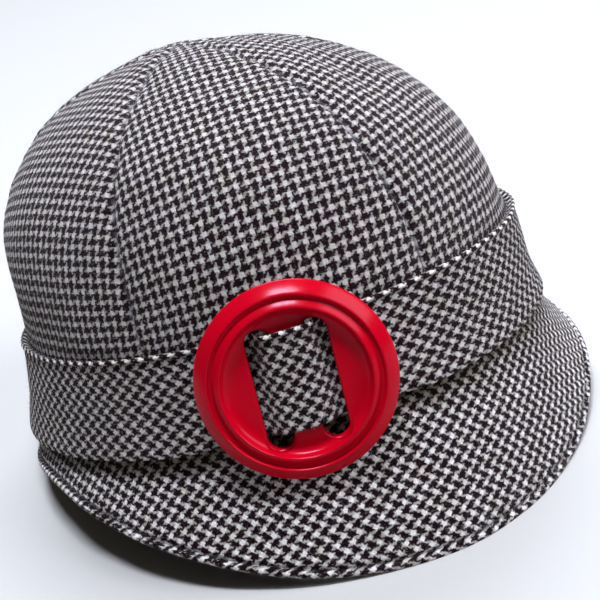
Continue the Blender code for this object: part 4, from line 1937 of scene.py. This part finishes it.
@dataclass
class Fuzz:
    """Short fibres that stand off a cloth piece, with an extra share of them near the table.

    A fibre leaves the cloth partly upright and partly in a loose direction.  One that would lie on the
    cloth is raised, and one that would reach below the table is turned up or left out.
    """

    name: str
    cloth: bpy.types.Object
    slot: str
    finish: bpy.types.Material
    count: int
    seed: int
    edge_extra: float = 0.0
    edge_height: float = 0.006
    inside_height: float = 0.03
    shortest: float = 0.0005
    longest: float = 0.0017
    radius: float = 0.000016
    girth: tuple[float, float] = (0.8, 1.4)
    tip: float = 0.35
    bow: float = 0.16
    bow_turn: float = 0.8
    upright: tuple[float, float] = (0.15, 0.9)
    loose: float = 0.9
    lowest_rise: float = 0.1
    raised: float = 0.25
    keep_above: float = 0.0003
    light_share: float = 0.55
    light_tone: float = 0.75
    light_spread: float = 0.25
    dark_tone: float = 0.05

    def strand(self) -> bmesh.types.BMesh:
        """One tapered fibre, bowed by a share of the longest one.

        Returns:
            The fibre along +Z, 1 long and 1 in radius.
        """
        shape = bmesh.new()
        bmesh.ops.create_cone(
            shape, cap_ends=True, segments=3, radius1=1.0, radius2=self.tip, depth=1.0,
            matrix=Matrix.Translation((0.0, 0.0, 0.5)),
        )
        sides = [edge for edge in shape.edges if abs(edge.verts[0].co.z - edge.verts[1].co.z) > 0.5]
        bmesh.ops.subdivide_edges(shape, edges=sides, cuts=2)
        bow = self.bow * self.longest / self.radius
        for vertex in shape.verts:
            vertex.co.x += bow * math.sin(math.pi * self.bow_turn * vertex.co.z)
        return shape

    def weights(self) -> np.ndarray:
        """How readily each face of the cloth gets a fibre.

        Returns:
            A face's area on the outer side, more near the table, and 0 on the inner side.
        """
        faces = self.cloth.data.polygons
        centres = np.array([face.center for face in faces])
        normals = np.array([face.normal for face in faces])
        areas = np.array([face.area for face in faces])
        inside = np.array((0.0, 0.0, self.inside_height))
        outer = (normals * (centres - inside)).sum(axis=1) > 0.0
        near_table = [math.exp(-(face.center.z / self.edge_height) ** 2) for face in faces]
        return np.array([1.0 + self.edge_extra * near for near in near_table]) * areas * outer

    def fibre(self, face: bpy.types.MeshPolygon, chance: np.random.Generator) -> np.ndarray:
        """Place of one fibre on a face.

        Args:
            face: Face of the cloth.
            chance: Gives its random draws.

        Returns:
            The 4 x 4 matrix.
        """
        corners = [self.cloth.data.vertices[index].co for index in face.vertices]
        first, second = chance.random(), chance.random()
        start = corners[0].lerp(corners[1], first).lerp(corners[-1].lerp(corners[-2], first), second)
        outward = face.normal.copy()
        loose = Vector(chance.normal(size=3))
        ahead = (outward * chance.uniform(*self.upright) + loose.normalized() * self.loose).normalized()
        if ahead.dot(outward) < self.lowest_rise:
            ahead = (ahead + (self.raised - ahead.dot(outward)) * outward).normalized()
        length = chance.uniform(self.shortest, self.longest)
        if start.z + ahead.z * length < self.keep_above:
            ahead.z = (self.keep_above - start.z) / length
        radius = self.radius * chance.uniform(*self.girth)
        return placed_along(start, ahead, Vector(chance.normal(size=3)), Vector((radius, radius, length)))

    def build(self) -> None:
        """Scatter the fibres over the outer side of the cloth and keep those above the table."""
        chance = np.random.default_rng(self.seed)
        faces = self.cloth.data.polygons
        weights = self.weights()
        picks = chance.choice(len(weights), size=self.count, p=weights / weights.sum())
        places = np.array([self.fibre(faces[pick], chance) for pick in picks])
        light = chance.random(self.count) < self.light_share
        light_tones = self.light_tone + self.light_spread * chance.random(self.count)
        tones = np.where(light, light_tones, self.dark_tone)
        strand = self.strand()
        corners = np.array([(*vertex.co, 1.0) for vertex in strand.verts])
        keep = (places[:, 2, :] @ corners.T).min(axis=1) > self.keep_above
        mesh = joined_copies(strand, places[keep], tones[keep], self.name)
        add_piece(mesh, self.name, self.finish, self.slot)


@dataclass
class Buckle:
    """Round slide buckle: a turned dish with a rim, a groove, a raised ring, two slots and a bar.

    A row of its section is a share of the visible radius and a height in millimetres, from the dish's
    floor over the ring, the groove and the rim to the back.
    """

    form: BuckleForm
    axis: Matrix
    finish: bpy.types.Material
    turn_steps: int = 160
    knot_steps: int = 5
    slot_end_steps: int = 20
    slot_edge: float = 0.0009
    slot_longer: float = 0.0012
    slot_lower: float = 0.0008
    slot_edge_steps: int = 6
    weld: float = 1e-6
    sharp_angle: float = math.radians(35.0)
    slot: str = "red_plastic"
    rows: tuple[Row, ...] = (
        (0.400, 2.40), (0.560, 2.42), (0.620, 2.52), (0.662, 2.80), (0.693, 3.27), (0.714, 3.87),
        (0.729, 4.60), (0.738, 5.06), (0.748, 5.28), (0.760, 5.19), (0.776, 4.86), (0.794, 4.42),
        (0.811, 3.97), (0.825, 3.70), (0.836, 3.62), (0.845, 3.74), (0.853, 4.08), (0.861, 4.44),
        (0.871, 4.64), (0.883, 4.52), (0.899, 4.16), (0.918, 3.67), (0.937, 3.15), (0.955, 2.62),
        (0.971, 2.12), (0.985, 1.66), (0.995, 1.26), (1.000, 0.92), (0.997, 0.60), (0.980, 0.28),
        (0.950, 0.06), (0.915, 0.00),
    )
    piece: bpy.types.Object | None = None

    def profile(self) -> list[Vector]:
        """The buckle's half section.

        Returns:
            Points from the dish's middle round the rim to the back's middle.
        """
        radius = self.form.visible_radius
        knots = [Vector((share * radius, 0.0, MILLIMETRE * height)) for share, height in self.rows]
        path = smooth_path(knots, self.knot_steps, closed=False)
        return [Vector((0.0, 0.0, self.form.floor))] + path + [Vector((0.0, 0.0, 0.0))]

    def body(self) -> bmesh.types.BMesh:
        """Turn the half section round the buckle's axis.

        Returns:
            The body, without its slots.
        """
        shape = bmesh.new()
        corners = [shape.verts.new(point) for point in self.profile()]
        for start, end in zip(corners, corners[1:]):
            shape.edges.new((start, end))
        bmesh.ops.spin(
            shape, geom=shape.verts[:] + shape.edges[:], cent=(0.0, 0.0, 0.0), axis=(0.0, 0.0, 1.0),
            angle=2.0 * math.pi, steps=self.turn_steps, use_merge=True,
        )
        bmesh.ops.remove_doubles(shape, verts=shape.verts, dist=self.weld)
        bmesh.ops.recalc_face_normals(shape, faces=shape.faces)
        return shape

    def slot_levels(self) -> list[Row]:
        """Levels of a slot's cutter, which rounds the slot's edge.

        Returns:
            Heights up the cutter and how far it spreads there.
        """
        form = self.form
        levels = [(-form.thickness, 0.0), (form.floor - self.slot_edge, 0.0)]
        for step in range(1, self.slot_edge_steps + 1):
            turn = 0.5 * math.pi * step / self.slot_edge_steps
            rise = self.slot_edge * (1.0 - math.sin(turn))
            levels.append((form.floor - rise, self.slot_edge * (1.0 - math.cos(turn))))
        levels.append((2.0 * form.thickness, self.slot_edge))
        return levels

    def slot_cutter(self, middle: float) -> bmesh.types.BMesh:
        """Cutter for one slot: a rounded block whose sides spread at the dish's floor.

        Args:
            middle: How far to the side of the buckle's middle the slot lies.

        Returns:
            The cutter, closed.
        """
        form = self.form
        radius = 0.5 * form.slot_width
        straight = form.slot_straight(form.rest()[0]) + self.slot_longer
        ends = ((straight - self.slot_lower, 0.0), (-straight - self.slot_lower, math.pi))
        shape = bmesh.new()
        rings = []
        for height, spread in self.slot_levels():
            reach = radius + spread
            ring = []
            for end, first_turn in ends:
                for step in range(self.slot_end_steps + 1):
                    turn = first_turn + math.pi * step / self.slot_end_steps
                    corner = (middle + reach * math.cos(turn), end + reach * math.sin(turn), height)
                    ring.append(shape.verts.new(corner))
            rings.append([shape.edges.new(pair) for pair in zip(ring, ring[1:] + ring[:1])])
        for lower, upper in zip(rings, rings[1:]):
            bmesh.ops.bridge_loops(shape, edges=lower + upper)
        bmesh.ops.holes_fill(shape, edges=rings[0] + rings[-1], sides=0)
        bmesh.ops.recalc_face_normals(shape, faces=shape.faces)
        return shape

    def cut_slots(self, place: Matrix) -> None:
        """Cut the two slots out of the buckle.

        Args:
            place: Place of the buckle.
        """
        middle = 0.5 * (self.form.bar_width + self.form.slot_width)
        cutters = []
        for side in (-1, 1):
            cutter_shape = self.slot_cutter(side * middle)
            bmesh.ops.transform(cutter_shape, matrix=place, verts=cutter_shape.verts)
            cutter = linked("slot_cutter", mesh_of(cutter_shape, "slot_cutter"))
            cut = self.piece.modifiers.new("slot", "BOOLEAN")
            cut.operation = "DIFFERENCE"
            cut.solver = "EXACT"
            cut.object = cutter
            cutters.append(cutter)
        bpy.context.view_layer.update()
        evaluated = self.piece.evaluated_get(bpy.context.evaluated_depsgraph_get())
        cut_mesh = bpy.data.meshes.new_from_object(evaluated)
        self.piece.modifiers.clear()
        self.piece.data = cut_mesh
        cut_mesh.shade_smooth()
        cut_mesh.set_sharp_from_angle(angle=self.sharp_angle)
        for cutter in cutters:
            bpy.data.objects.remove(cutter, do_unlink=True)

    def build(self) -> None:
        """Make the buckle and cut its slots."""
        place = self.axis @ self.form.place()
        shape = self.body()
        bmesh.ops.transform(shape, matrix=place, verts=shape.verts)
        mesh = mesh_of(shape, "slide_buckle")
        self.piece = add_piece(mesh, "slide_buckle", self.finish, self.slot, ["buckle"])
        self.cut_slots(place)


@dataclass(frozen=True)
class Panel:
    """Soft oblong light that looks at the hat.

    Its turn is in degrees from the camera's side and its rise in degrees over the table.  Its distance,
    width and height are in metres and its power in watts.
    """

    name: str
    turn: float
    rise: float
    distance: float
    size: tuple[float, float]
    power: float
    colour: Colour


@dataclass
class Studio:
    """Pale floor, soft light and the camera at the photograph's angle to the hat."""

    aim: Vector = Vector((0.0128, 0.0056, 0.0371)).freeze()
    distance: float = 0.4300
    azimuth: float = math.radians(-32.847)
    elevation: float = math.radians(23.383)
    roll: float = math.radians(-11.393)
    lens: float = 70.63
    sensor: float = 36.0
    nearest: float = 0.01
    farthest: float = 50.0
    floor_radius: float = 8.0
    floor_sides: int = 128
    fill: Colour = (1.0, 0.92, 0.82)
    fill_strength: float = 0.10
    panels: tuple[Panel, ...] = (
        Panel("window", -4.0, 82.0, 1.9, (0.62, 0.24), 61.0, (0.80, 0.87, 1.0)),
        Panel("right_light", 74.0, 40.0, 1.9, (1.2, 1.2), 42.0, (0.86, 0.90, 1.0)),
        Panel("back_light", 180.0, 48.0, 3.0, (1.8, 1.8), 150.0, (0.80, 0.87, 1.0)),
    )

    def build(self) -> None:
        """Make the floor, the lights and the camera."""
        self.floor()
        self.surroundings()
        for panel in self.panels:
            self.light(panel)
        self.camera()

    def toward(self, turn: float, rise: float, distance: float) -> Vector:
        """Place round the hat.

        Args:
            turn: Degrees from the camera's side.
            rise: Degrees over the table.
            distance: Metres from the hat.

        Returns:
            The place.
        """
        azimuth = self.azimuth + math.radians(turn)
        elevation = math.radians(rise)
        level = Vector((math.sin(azimuth), -math.cos(azimuth), 0.0)) * math.cos(elevation)
        return self.aim + distance * (level + Vector((0.0, 0.0, math.sin(elevation))))

    def floor(self) -> None:
        """Wide round floor."""
        shape = bmesh.new()
        bmesh.ops.create_circle(shape, cap_ends=True, segments=self.floor_sides, radius=self.floor_radius)
        mesh = mesh_of(shape, "floor")
        mesh.materials.append(PaperFinish().build())
        linked("floor", mesh)
        LOG.info("floor: staged")

    def surroundings(self) -> None:
        """Dim, even and slightly warm light that fills the shadows."""
        world = bpy.data.worlds.new("studio")
        world.use_nodes = True
        background = world.node_tree.nodes["Background"]
        background.inputs["Color"].default_value = opaque(self.fill)
        background.inputs["Strength"].default_value = self.fill_strength
        bpy.context.scene.world = world
        bpy.context.scene.view_settings.view_transform = "Standard"

    def light(self, panel: Panel) -> None:
        """Hang one light and turn it towards the hat.

        Args:
            panel: The light.
        """
        light = bpy.data.lights.new(panel.name, "AREA")
        light.shape = "RECTANGLE"
        light.size, light.size_y = panel.size
        light.energy = panel.power
        light.color = panel.colour
        lamp = linked(panel.name, light)
        place = self.toward(panel.turn, panel.rise, panel.distance)
        lamp.location = place
        lamp.rotation_euler = (self.aim - place).to_track_quat("-Z", "Y").to_euler()

    def camera(self) -> None:
        """Camera at the photograph's angle, rolled as the photograph is."""
        turn, rise = self.azimuth, self.elevation
        back = Vector((math.sin(turn) * math.cos(rise), -math.cos(turn) * math.cos(rise), math.sin(rise)))
        level = Vector((math.cos(turn), math.sin(turn), 0.0))
        upright = back.cross(level)
        right = level * math.cos(self.roll) + upright * math.sin(self.roll)
        up = back.cross(right)
        lens = bpy.data.cameras.new("camera")
        lens.lens = self.lens
        lens.sensor_width = self.sensor
        lens.sensor_fit = "HORIZONTAL"
        lens.clip_start = self.nearest
        lens.clip_end = self.farthest
        camera = linked("camera", lens)
        place = Matrix((right, up, back)).transposed().to_4x4()
        place.translation = self.aim + self.distance * back
        camera.matrix_world = place
        bpy.context.scene.camera = camera


def main() -> None:
    """Build the studio, then the hat's pieces in order."""
    logging.basicConfig(level=logging.INFO, format="%(name)s: %(message)s")
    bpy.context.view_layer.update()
    crown_form = CrownForm()
    brim_form = BrimForm(crown_form)
    band_form = BandForm(crown_form)
    buckle_form = BuckleForm(crown_form, band_form, brim_form)
    shift = brim_form.shift()
    axis = crown_form.axis(shift)

    crown_wool = HoundstoothFinish(
        "crown_check_wool", warp_pitch=0.00057, weft_pitch=0.00060, seam_reach=0.0013, haze=0.09,
    ).build()
    band_wool = HoundstoothFinish(
        "band_check_wool", warp_pitch=0.000544, weft_pitch=0.000544, shaded=True,
    ).build()
    # The brim's light yarn is paler than the crown's and the band's: painted light, a lit copy of the same
    # check.
    brim_wool = HoundstoothFinish(
        "brim_check_wool", warp_pitch=0.000544, weft_pitch=0.000544, shaded=True,
        light=(0.91, 0.842, 0.816),
    ).build()
    plastic = PlasticFinish().build()
    thread = ThreadFinish("sewing_thread", pale=(0.06, 0.05, 0.06), deep=(0.012, 0.008, 0.010)).build()
    fibre = ThreadFinish("wool_fibre", pale=(0.70, 0.69, 0.68), deep=(0.015, 0.009, 0.011)).build()

    Studio().build()
    crown = Crown(crown_form, axis, crown_wool)
    crown.build()
    band = Band(band_form, buckle_form, axis, band_wool)
    band.build()
    brim = Brim(brim_form, shift, brim_wool)
    brim.build()
    Buckle(buckle_form, axis, plastic).build()
    CreaseStitches(brim, thread).build()
    for index, gore in enumerate(crown.pieces, start=1):
        Fuzz(f"crown_fuzz_{index}", gore, crown.slot, fibre, count=4000, seed=index).build()
    Fuzz("band_fuzz", band.piece, band.slot, fibre, count=6000, seed=11).build()
    Fuzz("brim_fuzz", brim.piece, brim.slot, fibre, count=9000, seed=12, edge_extra=5.0).build()


if __name__ == "__main__":
    main()
